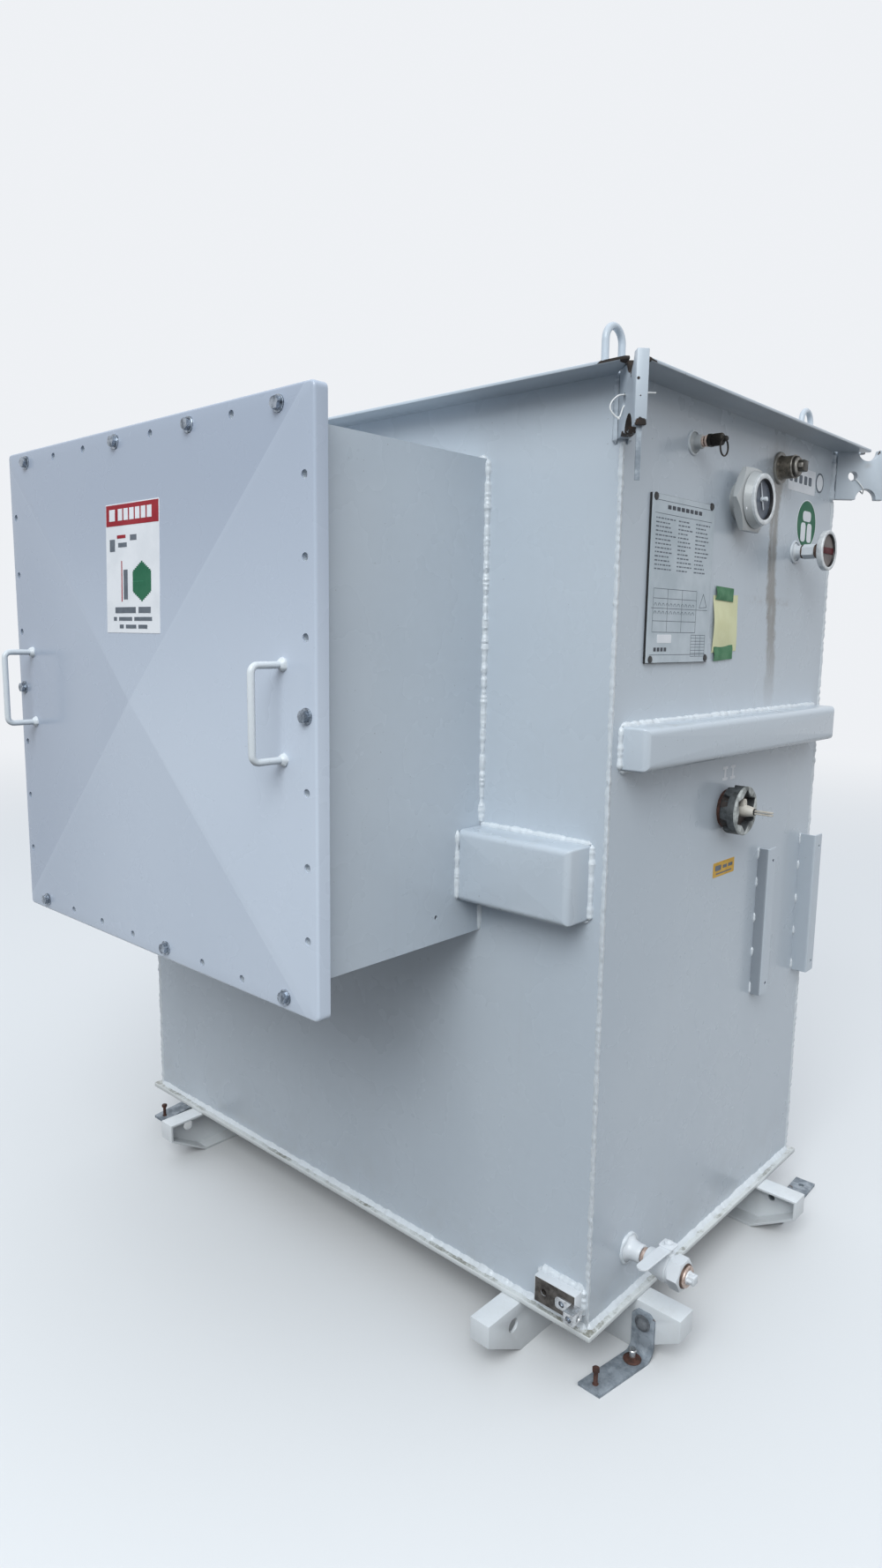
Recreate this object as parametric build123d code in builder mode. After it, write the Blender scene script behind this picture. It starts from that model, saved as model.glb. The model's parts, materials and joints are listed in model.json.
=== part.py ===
from build123d import *
from math import cos, pi, sin
import os

# A padmount-style substation transformer tank, in millimetres with +Z up.
# The working frame has X = 0 and Y = 0 in the middle of the tank and Z = 0 under the skids.
# The long front wall faces -Y and the wall with the gauges faces +X.

os.makedirs("parts", exist_ok=True)

# Tank
tank_l = 1460
tank_w = 900
wall_t = 6
base_top = 120
base_t = 12
base_out = 18
wall_top = 1832
cover_t = 6
cover_out = 65
corner_cut = 27
cover_top = wall_top + cover_t
end_x = tank_l / 2
front_y = -tank_w / 2
back_y = tank_w / 2

# Reaches of the outermost pieces: skid noses, drain plug and cover handles
nose_out = 113
plug_out = 147
handle_out = 520

# Row origin: the middle of the whole box, on the ground
origin_x = (plug_out - nose_out) / 2
origin_y = (nose_out - handle_out) / 2

# Cutters run past the faces that they open
past = 1


def save(builder, label):
    part = builder.part.moved(Location((-origin_x, -origin_y, 0)))
    part.label = label
    export_step(part, f"parts/{label}.step")


def block(x0, x1, y0, y1, z0, z1, mode=Mode.ADD):
    with Locations(((x0 + x1) / 2, (y0 + y1) / 2, (z0 + z1) / 2)):
        return Box(abs(x1 - x0), abs(y1 - y0), abs(z1 - z0), mode=mode)


def rod_x(x0, x1, y, z, r, mode=Mode.ADD):
    with Locations(((x0 + x1) / 2, y, z)):
        return Cylinder(r, x1 - x0, rotation=(0, 90, 0), mode=mode)


def rod_y(y0, y1, x, z, r, mode=Mode.ADD):
    with Locations((x, (y0 + y1) / 2, z)):
        return Cylinder(r, abs(y1 - y0), rotation=(90, 0, 0), mode=mode)


def rod_z(z0, z1, x, y, r, mode=Mode.ADD):
    with Locations((x, y, (z0 + z1) / 2)):
        return Cylinder(r, z1 - z0, mode=mode)


def cone_x(x0, x1, y, z, r0, r1):
    with Locations(((x0 + x1) / 2, y, z)):
        return Cone(r0, r1, x1 - x0, rotation=(0, 90, 0))


def hex_x(x0, x1, y, z, across, turn=0):
    with BuildSketch(Plane((x0, y, z), x_dir=(0, 1, 0), z_dir=(1, 0, 0))) as outline:
        RegularPolygon(across / 2, 6, major_radius=False, rotation=turn)
    extrude(outline.sketch, amount=x1 - x0)


# Tank walls
with BuildPart() as tank_front_wall:
    block(-end_x, end_x, front_y, front_y + wall_t, base_top, wall_top)
with BuildPart() as tank_back_wall:
    block(-end_x, end_x, back_y - wall_t, back_y, base_top, wall_top)
with BuildPart() as tank_left_wall:
    block(-end_x, -end_x + wall_t, front_y + wall_t, back_y - wall_t, base_top, wall_top)
with BuildPart() as tank_right_wall:
    block(end_x - wall_t, end_x, front_y + wall_t, back_y - wall_t, base_top, wall_top)

# Base plate under the walls
base_x = end_x + base_out
base_y = back_y + base_out
with BuildPart() as base_plate:
    block(-base_x, base_x, -base_y, base_y, base_top - base_t, base_top)

# Core, coils and oil as one plain block
contents_gap = 20
contents_drop = 232
contents_x = end_x - wall_t - contents_gap
contents_y = back_y - wall_t - contents_gap
with BuildPart() as tank_contents:
    block(-contents_x, contents_x, -contents_y, contents_y, base_top, wall_top - contents_drop)

# Corner lifting lugs stand out at 45 degrees, notched top and bottom
lug_out = 115
lug_t = 19
lug_h = 110
lug_root = 12
notch_out = 72
notch_r = 24
lug_hole_out = 38.5
lug_hole_down = 58
lug_hole_r = 11
corners = [
    Location((side_x * end_x, side_y * back_y, cover_top), (0, 0, turn))
    for side_x, side_y, turn in ((1, -1, -45), (1, 1, 45), (-1, 1, 135), (-1, -1, 225))
]


def lifting_lug(corner):
    with BuildPart() as lug:
        with Locations(corner):
            with Locations(((lug_out - lug_root) / 2, 0, -lug_h / 2)):
                Box(lug_out + lug_root, lug_t, lug_h)
            with Locations((notch_out, 0, 0), (notch_out, 0, -lug_h)):
                Cylinder(notch_r, lug_t, rotation=(90, 0, 0), mode=Mode.SUBTRACT)
            with Locations((lug_hole_out, 0, -lug_hole_down)):
                Cylinder(lug_hole_r, lug_t, rotation=(90, 0, 0), mode=Mode.SUBTRACT)
        block(-end_x, end_x, front_y, back_y, base_top, cover_top, mode=Mode.SUBTRACT)
    return lug


lug_front_right, lug_back_right, lug_back_left, lug_front_left = [lifting_lug(corner) for corner in corners]

# Cover plate with cut corners, slotted for the lugs
slot_gap = 1
cover_x = end_x + cover_out
cover_y = back_y + cover_out
with BuildPart() as tank_cover:
    block(-cover_x, cover_x, -cover_y, cover_y, wall_top, cover_top)
    chamfer(tank_cover.edges().filter_by(Axis.Z), corner_cut)
    with Locations(*corners):
        with Locations(((lug_out - lug_root) / 2, 0, -cover_t / 2)):
            Box(lug_out + lug_root, lug_t + 2 * slot_gap, cover_t, mode=Mode.SUBTRACT)

# Rod loops on the cover
loop_in_x = 56
loop_in_y = 48
loop_r = 25
loop_leg = 60
loop_rod_r = 6.5
arc_z = cover_top + loop_leg
with BuildPart() as cover_loops:
    for x in (-end_x + loop_in_x, end_x - loop_in_x):
        for y in (front_y + loop_in_y, back_y - loop_in_y):
            with BuildLine() as loop_path:
                Line((x, y - loop_r, cover_top), (x, y - loop_r, arc_z))
                ThreePointArc((x, y - loop_r, arc_z), (x, y, arc_z + loop_r), (x, y + loop_r, arc_z))
                Line((x, y + loop_r, arc_z), (x, y + loop_r, cover_top))
            with BuildSketch(Plane((x, y - loop_r, cover_top))):
                Circle(loop_rod_r)
            sweep(path=loop_path.wires()[0])

# Cable chamber on the front wall, sized from its bolted cover panel
chamber_x = -11
panel_w = 1005
panel_h = 985
panel_drop = 57
panel_out = 451
panel_t = 3
panel_return = 26
panel_corner_r = 10
panel_edge_r = 4
flange_t = 6
flange_gap = 1
flange_rim_x = 46.5
flange_rim_z = 48
chamber_t = 4
panel_y = front_y - panel_out
panel_back = panel_y + panel_t
flange_back = panel_back + flange_t
panel_low = wall_top - panel_drop - panel_h
panel_high = wall_top - panel_drop
chamber_z = (panel_low + panel_high) / 2
left_x = chamber_x - panel_w / 2 + flange_rim_x
right_x = chamber_x + panel_w / 2 - flange_rim_x
chamber_low = panel_low + flange_rim_z
chamber_high = panel_high - flange_rim_z
side_hole_out = 125
side_hole_up = 50
side_hole_r = 4
with BuildPart() as chamber_side_walls:
    block(left_x, left_x + chamber_t, flange_back, front_y, chamber_low, chamber_high)
    block(right_x - chamber_t, right_x, flange_back, front_y, chamber_low, chamber_high)
    rod_x(right_x - chamber_t - past, right_x + past, front_y - side_hole_out, chamber_low + side_hole_up,
          side_hole_r, mode=Mode.SUBTRACT)
with BuildPart() as chamber_top:
    block(left_x + chamber_t, right_x - chamber_t, flange_back, front_y, chamber_high - chamber_t, chamber_high)

# Chamber floor with its cable opening, and the gland plate under that
gland_t = 4
gland_in = 10
gland_lap = 22
gland_from_panel = 69
gland_from_wall = 149
gland_front = panel_y + gland_from_panel
gland_back = front_y - gland_from_wall
with BuildPart() as chamber_bottom:
    block(left_x + chamber_t, right_x - chamber_t, flange_back, front_y, chamber_low, chamber_low + chamber_t)
    block(left_x + gland_in + gland_lap, right_x - gland_in - gland_lap, gland_front + gland_lap,
          gland_back - gland_lap, chamber_low, chamber_low + chamber_t, mode=Mode.SUBTRACT)
with BuildPart() as gland_plate:
    block(left_x + gland_in, right_x - gland_in, gland_front, gland_back, chamber_low - gland_t, chamber_low)

# Bolt holes round the chamber cover
hole_r = 7
row_in = 24
column_in = 23.5
row_count = 8
column_count = 7
row_margin = 82.5
column_margin = 132.5
row_pitch = (panel_w - 2 * row_margin) / (row_count - 1)
column_pitch = (panel_h - 2 * column_margin) / (column_count - 1)
holes = [
    (chamber_x - panel_w / 2 + row_margin + row_pitch * i, z)
    for i in range(row_count)
    for z in (panel_low + row_in, panel_high - row_in)
]
holes += [
    (chamber_x + side * (panel_w / 2 - column_in), panel_low + column_margin + column_pitch * i)
    for i in range(column_count)
    for side in (-1, 1)
]
rim_x = panel_w / 2 - panel_t - flange_gap
rim_low = panel_low + panel_t + flange_gap
rim_high = panel_high - panel_t - flange_gap
with BuildPart() as chamber_flange_rails:
    for z0, z1 in ((rim_low, chamber_low + chamber_t), (chamber_high - chamber_t, rim_high)):
        block(chamber_x - rim_x, chamber_x + rim_x, panel_back, flange_back, z0, z1)
    for x, z in holes:
        rod_y(panel_back - past, flange_back + past, x, z, hole_r, mode=Mode.SUBTRACT)
with BuildPart() as chamber_flange_posts:
    for x0, x1 in ((chamber_x - rim_x, left_x + chamber_t), (right_x - chamber_t, chamber_x + rim_x)):
        block(x0, x1, panel_back, flange_back, chamber_low + chamber_t, chamber_high - chamber_t)
    for x, z in holes:
        rod_y(panel_back - past, flange_back + past, x, z, hole_r, mode=Mode.SUBTRACT)
with BuildPart() as chamber_cover:
    block(chamber_x - panel_w / 2, chamber_x + panel_w / 2, panel_y, panel_y + panel_return,
          panel_low, panel_high)
    fillet(chamber_cover.edges().filter_by(Axis.Y), panel_corner_r)
    fillet(chamber_cover.faces().sort_by(Axis.Y)[0].edges(), panel_edge_r)
    block(chamber_x - panel_w / 2 + panel_t, chamber_x + panel_w / 2 - panel_t, panel_back,
          panel_y + panel_return + past, panel_low + panel_t, panel_high - panel_t, mode=Mode.SUBTRACT)
    for x, z in holes:
        rod_y(panel_y - past, panel_back + past, x, z, hole_r, mode=Mode.SUBTRACT)

# Two bent rod handles on the chamber cover, on welded feet
handle_rod_r = 6
handle_in_left = 73
handle_in_right = 78
handle_span = 150
handle_lift = 2.5
handle_bend_r = 18
handle_foot_r = 10
handle_foot_t = 5
handle_y = front_y - handle_out + handle_rod_r
handle_low = chamber_z + handle_lift - handle_span / 2
handle_high = chamber_z + handle_lift + handle_span / 2
with BuildPart() as cover_handles:
    for x in (chamber_x - panel_w / 2 + handle_in_left, chamber_x + panel_w / 2 - handle_in_right):
        with BuildLine() as grip:
            FilletPolyline(
                (x, panel_y, handle_low),
                (x, handle_y, handle_low),
                (x, handle_y, handle_high),
                (x, panel_y, handle_high),
                radius=handle_bend_r,
            )
        with BuildSketch(Plane((x, panel_y, handle_low), z_dir=(0, -1, 0))):
            Circle(handle_rod_r)
        sweep(path=grip.wires()[0])
        for z in (handle_low, handle_high):
            rod_y(panel_y - handle_foot_t, panel_y, x, z, handle_foot_r)

# Formed channel stiffeners, welded to the walls and closed at their ends
stiff_t = 5
stiff_edge_r = 9
stiff_in = 30
long_stiff_depth = 70
long_stiff_low = 910
long_stiff_h = 138
long_stiff_high = long_stiff_low + long_stiff_h
end_stiff_depth = 55
end_stiff_low = 1180
end_stiff_h = 77
end_stiff_high = end_stiff_low + end_stiff_h
stiff_x = end_x - stiff_in
stiff_y = back_y - stiff_in
with BuildPart() as front_stiffeners:
    face_y = front_y - long_stiff_depth
    for x0, x1 in ((right_x, stiff_x), (-stiff_x, left_x)):
        block(x0, x1, face_y, front_y, long_stiff_low, long_stiff_high)
    fillet(front_stiffeners.faces().group_by(Axis.Y)[0].edges(), stiff_edge_r)
    for x0, x1 in ((right_x, stiff_x), (-stiff_x, left_x)):
        block(x0 + stiff_t, x1 - stiff_t, face_y + stiff_t, front_y, long_stiff_low + stiff_t,
              long_stiff_high - stiff_t, mode=Mode.SUBTRACT)
with BuildPart() as back_stiffener:
    face_y = back_y + long_stiff_depth
    block(-stiff_x, stiff_x, back_y, face_y, long_stiff_low, long_stiff_high)
    fillet(back_stiffener.faces().sort_by(Axis.Y)[-1].edges(), stiff_edge_r)
    block(-stiff_x + stiff_t, stiff_x - stiff_t, back_y, face_y - stiff_t, long_stiff_low + stiff_t,
          long_stiff_high - stiff_t, mode=Mode.SUBTRACT)
with BuildPart() as end_stiffeners:
    for side in (-1, 1):
        block(side * end_x, side * (end_x + end_stiff_depth), -stiff_y, stiff_y, end_stiff_low, end_stiff_high)
    fillet(end_stiffeners.faces().group_by(Axis.X)[0].edges(), stiff_edge_r)
    fillet(end_stiffeners.faces().group_by(Axis.X)[-1].edges(), stiff_edge_r)
    for side in (-1, 1):
        block(side * end_x, side * (end_x + end_stiff_depth - stiff_t), -stiff_y + stiff_t, stiff_y - stiff_t,
              end_stiff_low + stiff_t, end_stiff_high - stiff_t, mode=Mode.SUBTRACT)

# Skid channels under the base plate, with noses that run out past it
skid_h = base_top - base_t
skid_t = 6
nose_tip_low = 62
nose_slope = 105
nose_hole_in = 77
nose_hole_z = 69
cross_width = 46
cross_in = (197, 169)
cross_hole_r = 14
long_width = 50
long_in = 177
long_hole_r = 8
cross_x = (-end_x + cross_in[0], end_x - cross_in[1])
long_y = back_y - long_in
cross_reach = back_y + nose_out
long_reach = end_x + nose_out


def skid_outline(reach, inset):
    tip = reach - inset
    tip_low = nose_tip_low + inset * 0.4
    foot = reach - nose_slope - inset * 0.3
    Polyline(
        (-tip, skid_h - inset),
        (-tip, tip_low),
        (-foot, inset),
        (foot, inset),
        (tip, tip_low),
        (tip, skid_h - inset),
        close=True,
    )


def skid_bar(plane, reach, inset, width, mode=Mode.ADD):
    with BuildSketch(plane) as outline:
        with BuildLine():
            skid_outline(reach, inset)
        make_face()
    extrude(outline.sketch, amount=width, mode=mode)


with BuildPart() as cross_skids:
    for x, web in zip(cross_x, (-1, 1)):
        low_x = x - cross_width / 2
        hollow_x = low_x + skid_t if web < 0 else low_x
        skid_bar(Plane((low_x, 0, 0), x_dir=(0, 1, 0), z_dir=(1, 0, 0)), cross_reach, 0, cross_width)
        skid_bar(Plane((hollow_x, 0, 0), x_dir=(0, 1, 0), z_dir=(1, 0, 0)), cross_reach, skid_t,
                 cross_width - skid_t, mode=Mode.SUBTRACT)
        for y in (-cross_reach + nose_hole_in, cross_reach - nose_hole_in):
            rod_x(low_x - past, low_x + cross_width + past, y, nose_hole_z, cross_hole_r, mode=Mode.SUBTRACT)
with BuildPart() as long_skids:
    for y, web in ((-long_y, -1), (long_y, 1)):
        high_y = y + long_width / 2
        hollow_y = high_y if web < 0 else high_y - skid_t
        skid_bar(Plane((0, high_y, 0), x_dir=(1, 0, 0), z_dir=(0, -1, 0)), long_reach, 0, long_width)
        skid_bar(Plane((0, hollow_y, 0), x_dir=(1, 0, 0), z_dir=(0, -1, 0)), long_reach, skid_t,
                 long_width - skid_t, mode=Mode.SUBTRACT)
        for x in (-long_reach + nose_hole_in, long_reach - nose_hole_in):
            rod_y(y - long_width, y + long_width, x, nose_hole_z, long_hole_r, mode=Mode.SUBTRACT)
    for x in cross_x:
        block(x - cross_width / 2, x + cross_width / 2, -cross_reach, cross_reach, -past, skid_h + past,
              mode=Mode.SUBTRACT)

# Galvanised hold-down angles bolted to the long skids' noses
angle_t = 7
angle_w = 49
angle_h = 92
near_leg = 160
near_skew = 22
far_leg = 232
far_skew = 8
near_shares = (0.18, 0.88)
far_shares = (0.871,)
lag_hole_r = 6
anchor_hole_r = 7
angle_bend = 24
angle_clip = 11
angle_x = long_reach - nose_hole_in
web_y = long_y + long_width / 2


def hold_down_legs(side_x, side_y, leg, skew):
    x = side_x * angle_x
    root_y = side_y * web_y
    tip_x = x - side_x * skew
    block(x - angle_w / 2, x + angle_w / 2, root_y, root_y + side_y * angle_t, angle_bend, angle_h)
    start = (x - side_y * angle_w / 2, root_y, 0)
    with BuildSketch(Plane(start, x_dir=(0, side_y, 0), z_dir=(side_y, 0, 0))) as bend:
        with Locations((angle_bend, angle_bend)):
            Circle(angle_bend)
            Circle(angle_bend - angle_t, mode=Mode.SUBTRACT)
        Rectangle(angle_bend, angle_bend, align=(Align.MIN, Align.MIN), mode=Mode.INTERSECT)
    extrude(bend.sketch, amount=angle_w)
    with BuildSketch() as foot:
        with BuildLine():
            Polyline(
                (x - angle_w / 2, root_y + side_y * angle_bend),
                (x + angle_w / 2, root_y + side_y * angle_bend),
                (tip_x + angle_w / 2, root_y + side_y * leg),
                (tip_x - angle_w / 2, root_y + side_y * leg),
                close=True,
            )
        make_face()
    extrude(foot.sketch, amount=angle_t)


def hold_down_holes(side_x, side_y, leg, skew, shares, r):
    x = side_x * angle_x
    root_y = side_y * web_y
    rod_y(root_y - side_y * past, root_y + side_y * (angle_t + past), x, nose_hole_z, long_hole_r,
          mode=Mode.SUBTRACT)
    for share in shares:
        rod_z(-past, angle_t + past, x - side_x * skew * share, root_y + side_y * leg * share, r,
              mode=Mode.SUBTRACT)


with BuildPart() as hold_down_angles:
    for side_x in (-1, 1):
        hold_down_legs(side_x, -1, near_leg, near_skew)
        hold_down_legs(side_x, 1, far_leg, far_skew)
    chamfer(hold_down_angles.faces().group_by(Axis.Z)[-1].edges().filter_by(Axis.Y), angle_clip)
    for side_x in (-1, 1):
        hold_down_holes(side_x, -1, near_leg, near_skew, near_shares, lag_hole_r)
        hold_down_holes(side_x, 1, far_leg, far_skew, far_shares, anchor_hole_r)

# Earthing pad with two bolt holes
pad_in = 10
pad_w = 95
pad_h = 54
pad_depth = 28
pad_up = 22
pad_hole_pitch = 44.45
pad_hole_from_end = 27.55
pad_hole_r = 7
pad_x1 = end_x - pad_in
pad_x0 = pad_x1 - pad_w
pad_low = base_top + pad_up
pad_face = front_y - pad_depth
pad_hole_z = pad_low + pad_h / 2
clamp_x = pad_x1 - pad_hole_from_end
with BuildPart() as ground_pad:
    block(pad_x0, pad_x1, pad_face, front_y, pad_low, pad_low + pad_h)
    for x in (clamp_x - pad_hole_pitch, clamp_x):
        rod_y(pad_face - past, front_y, x, pad_hole_z, pad_hole_r, mode=Mode.SUBTRACT)

# Wire clamp: a tongue on the pad's right hole and a barrel at the tongue's end
clamp_t = 5
tongue_back = 15
tongue_half_h = 12
clamp_hole_r = 6.5
barrel_in = 21
barrel_w = 24
barrel_half_h = 11.5
barrel_depth = 30
wire_r = 5
wire_depth = 18
screw_r = 6
screw_depth = 5
barrel_x = clamp_x + barrel_in
barrel_mid_x = barrel_x + barrel_w / 2
barrel_mid_y = pad_face - barrel_depth / 2
with BuildPart() as ground_clamp:
    block(clamp_x - tongue_back, barrel_x, pad_face - clamp_t, pad_face, pad_hole_z - tongue_half_h,
          pad_hole_z + tongue_half_h)
    rod_y(pad_face - clamp_t - past, pad_face, clamp_x, pad_hole_z, clamp_hole_r, mode=Mode.SUBTRACT)
    block(barrel_x, barrel_x + barrel_w, pad_face - barrel_depth, pad_face, pad_hole_z - barrel_half_h,
          pad_hole_z + barrel_half_h)
    rod_x(barrel_x + barrel_w - wire_depth, barrel_x + barrel_w + past, barrel_mid_y, pad_hole_z, wire_r,
          mode=Mode.SUBTRACT)
    rod_y(pad_face - barrel_depth - past, pad_face - barrel_depth + screw_depth, barrel_mid_x, pad_hole_z,
          screw_r, mode=Mode.SUBTRACT)

# Drain valve, low on the right end wall
drain_in = 137.3
drain_up = 100
drain_flare = (26.5, 20, 9)
drain_barrel = (18.5, 34)
drain_neck = (15.5, 44)
valve_collar = (22, 58)
valve_barrel = (26, 100)
valve_hex = (56, 126)
plug_flange = (20, 132)
plug_half = 9
stem_out = 87
bonnet = (9, 36)
stem = (5, 50)
lever_up = 42
lever_t = 4
lever_half_w = 12
lever_back = 13
lever_reach = 104
lever_corner_r = 9
lever_hole_r = 5.5
drain_y = front_y + drain_in
drain_z = base_top + drain_up
stem_x = end_x + stem_out
lever_z = drain_z + lever_up
with BuildPart() as drain_coupling:
    cone_x(end_x, end_x + drain_flare[2], drain_y, drain_z, drain_flare[0], drain_flare[1])
    rod_x(end_x + drain_flare[2], end_x + drain_barrel[1], drain_y, drain_z, drain_barrel[0])
    rod_x(end_x + drain_barrel[1], end_x + drain_neck[1], drain_y, drain_z, drain_neck[0])
with BuildPart() as drain_valve_body:
    rod_x(end_x + drain_neck[1], end_x + valve_collar[1], drain_y, drain_z, valve_collar[0])
    rod_x(end_x + valve_collar[1], end_x + valve_barrel[1], drain_y, drain_z, valve_barrel[0])
    hex_x(end_x + valve_barrel[1], end_x + valve_hex[1], drain_y, drain_z, valve_hex[0])
    rod_z(drain_z, drain_z + bonnet[1], stem_x, drain_y, bonnet[0])
    rod_z(drain_z + bonnet[1], drain_z + stem[1], stem_x, drain_y, stem[0])
with BuildPart() as drain_plug:
    rod_x(end_x + valve_hex[1], end_x + plug_flange[1], drain_y, drain_z, plug_flange[0])
    block(end_x + plug_flange[1], end_x + plug_out, drain_y - plug_half, drain_y + plug_half,
          drain_z - plug_half, drain_z + plug_half)
with BuildPart() as drain_lever:
    block(stem_x - lever_half_w, stem_x + lever_half_w, drain_y - lever_reach, drain_y + lever_back,
          lever_z, lever_z + lever_t)
    fillet(drain_lever.edges().filter_by(Axis.Z), lever_corner_r)
    rod_z(lever_z - past, lever_z + lever_t + past, stem_x, drain_y, lever_hole_r, mode=Mode.SUBTRACT)

# Pressure relief valve with its pull ring
relief_in = 234
relief_drop = 75
relief_flare = (23, 17, 6)
relief_barrel = (16, 18)
relief_neck = (9, 27)
relief_hex = (26, 36)
relief_body = (12, 54)
relief_stem = (5, 65)
ring_out = 60
ring_r = 14.5
ring_wire_r = 1.6
ring_eye_r = 3
relief_y = front_y + relief_in
relief_z = wall_top - relief_drop
ring_x = end_x + ring_out
with BuildPart() as relief_coupling:
    cone_x(end_x, end_x + relief_flare[2], relief_y, relief_z, relief_flare[0], relief_flare[1])
    rod_x(end_x + relief_flare[2], end_x + relief_barrel[1], relief_y, relief_z, relief_barrel[0])
with BuildPart() as relief_valve:
    rod_x(end_x + relief_barrel[1], end_x + relief_neck[1], relief_y, relief_z, relief_neck[0])
    hex_x(end_x + relief_neck[1], end_x + relief_hex[1], relief_y, relief_z, relief_hex[0])
    rod_x(end_x + relief_hex[1], end_x + relief_body[1], relief_y, relief_z, relief_body[0])
    rod_x(end_x + relief_body[1], end_x + relief_stem[1], relief_y, relief_z, relief_stem[0])
    rod_y(relief_y - relief_body[0], relief_y + relief_body[0], ring_x, relief_z, ring_eye_r,
          mode=Mode.SUBTRACT)
with BuildPart() as relief_ring:
    with Locations((ring_x, relief_y, relief_z - ring_r)):
        Torus(ring_r, ring_wire_r, rotation=(0, 90, 0))

# Dial thermometer
thermo_y = -28
thermo_drop = 158
thermo_z = wall_top - thermo_drop
thermo_neck = (36, 18)
thermo_hex = (118, 35)
thermo_case = (54, 48, 50)
thermo_bezel = (48, 56)
thermo_recess = (38, 48)
hand_hub_r = 5
hand_hub_t = 3
hand_off = 1
hand_t = 1.5
hand_w = 3
hand_tail = 12
hand_reach = 30
with BuildPart() as thermometer_mount:
    rod_x(end_x, end_x + thermo_neck[1], thermo_y, thermo_z, thermo_neck[0])
    hex_x(end_x + thermo_neck[1], end_x + thermo_hex[1], thermo_y, thermo_z, thermo_hex[0])
with BuildPart() as thermometer_case:
    cone_x(end_x + thermo_hex[1], end_x + thermo_case[2], thermo_y, thermo_z, thermo_case[0], thermo_case[1])
    rod_x(end_x + thermo_recess[1], end_x + thermo_case[2] + past, thermo_y, thermo_z, thermo_recess[0],
          mode=Mode.SUBTRACT)
with BuildPart() as thermometer_bezel:
    rod_x(end_x + thermo_case[2], end_x + thermo_bezel[1], thermo_y, thermo_z, thermo_bezel[0])
    rod_x(end_x + thermo_recess[1], end_x + thermo_bezel[1] + past, thermo_y, thermo_z, thermo_recess[0],
          mode=Mode.SUBTRACT)
with BuildPart() as thermometer_pointer:
    dial_x = end_x + thermo_recess[1]
    rod_x(dial_x, dial_x + hand_hub_t, thermo_y, thermo_z, hand_hub_r)
    block(dial_x + hand_off, dial_x + hand_off + hand_t, thermo_y - hand_w / 2, thermo_y + hand_w / 2,
          thermo_z - hand_tail, thermo_z + hand_reach)

# Fill coupling and its square-headed plug
fill_in = 603
fill_drop = 72
fill_y = front_y + fill_in
fill_z = wall_top - fill_drop
fill_flare = (32, 31, 5)
fill_barrel = (22.5, 34)
fill_collar = (21, 40)
fill_head_half = 12
fill_head_out = 56
with BuildPart() as fill_coupling:
    cone_x(end_x, end_x + fill_flare[2], fill_y, fill_z, fill_flare[0], fill_flare[1])
    rod_x(end_x + fill_flare[2], end_x + fill_barrel[1], fill_y, fill_z, fill_barrel[0])
with BuildPart() as fill_plug:
    rod_x(end_x + fill_barrel[1], end_x + fill_collar[1], fill_y, fill_z, fill_collar[0])
    block(end_x + fill_collar[1], end_x + fill_head_out, fill_y - fill_head_half, fill_y + fill_head_half,
          fill_z - fill_head_half, fill_z + fill_head_half)

# Liquid level gauge
level_in = 193
level_drop = 235
level_y = back_y - level_in
level_z = wall_top - level_drop
level_flare = (24, 15, 8)
level_barrel = (15, 20)
level_hex = (27, 46)
level_hex_turn = 30
level_ring = (15.5, 54)
level_stem = (12, 62)
level_case = (42, 72)
level_recess = (33, 66)
band_half_w = 31
band_half_h = 4
band_t = 2
with BuildPart() as level_coupling:
    cone_x(end_x, end_x + level_flare[2], level_y, level_z, level_flare[0], level_flare[1])
    rod_x(end_x + level_flare[2], end_x + level_barrel[1], level_y, level_z, level_barrel[0])
    hex_x(end_x + level_barrel[1], end_x + level_hex[1], level_y, level_z, level_hex[0], level_hex_turn)
    rod_x(end_x + level_hex[1], end_x + level_ring[1], level_y, level_z, level_ring[0])
    rod_x(end_x + level_ring[1], end_x + level_stem[1], level_y, level_z, level_stem[0])
with BuildPart() as level_head:
    rod_x(end_x + level_stem[1], end_x + level_case[1], level_y, level_z, level_case[0])
    rod_x(end_x + level_recess[1], end_x + level_case[1] + past, level_y, level_z, level_recess[0],
          mode=Mode.SUBTRACT)
with BuildPart() as level_float:
    face_x = end_x + level_recess[1]
    block(face_x, face_x + band_t, level_y - band_half_w, level_y + band_half_w,
          level_z - band_half_h, level_z + band_half_h)

# Tap switch: a flange, a ring with a star-shaped opening and a handle with its locking pin
switch_y = -4
switch_z = 1062
switch_flange_r = 49
switch_flange_t = 8
switch_ring_r = 52
switch_ring_out = 44
star_floor_out = 14
switch_face = end_x + switch_ring_out
star_floor = end_x + star_floor_out
star_out = 40
star_in = 24
star_points = 6
hub_r = 12
hub_over = 22
hub_end = switch_face + hub_over
pin_r = 4.5
pin_over = 36
pin_end = hub_end + pin_over
finger_off = 5
finger_t = 6
finger_w = 10
finger_reach = 26
with BuildPart() as switch_flange:
    rod_x(end_x, end_x + switch_flange_t, switch_y, switch_z, switch_flange_r)
with BuildPart() as switch_ring:
    rod_x(end_x + switch_flange_t, switch_face, switch_y, switch_z, switch_ring_r)
    with BuildSketch(Plane((star_floor, switch_y, switch_z), x_dir=(0, 1, 0), z_dir=(1, 0, 0))) as star:
        with BuildLine():
            radii = (star_out, star_in)
            turns = [i * pi / star_points for i in range(2 * star_points)]
            tips = [(radii[i % 2] * sin(turn), radii[i % 2] * cos(turn)) for i, turn in enumerate(turns)]
            Polyline(*tips, close=True)
        make_face()
    extrude(star.sketch, amount=switch_face - star_floor + past, mode=Mode.SUBTRACT)
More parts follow.
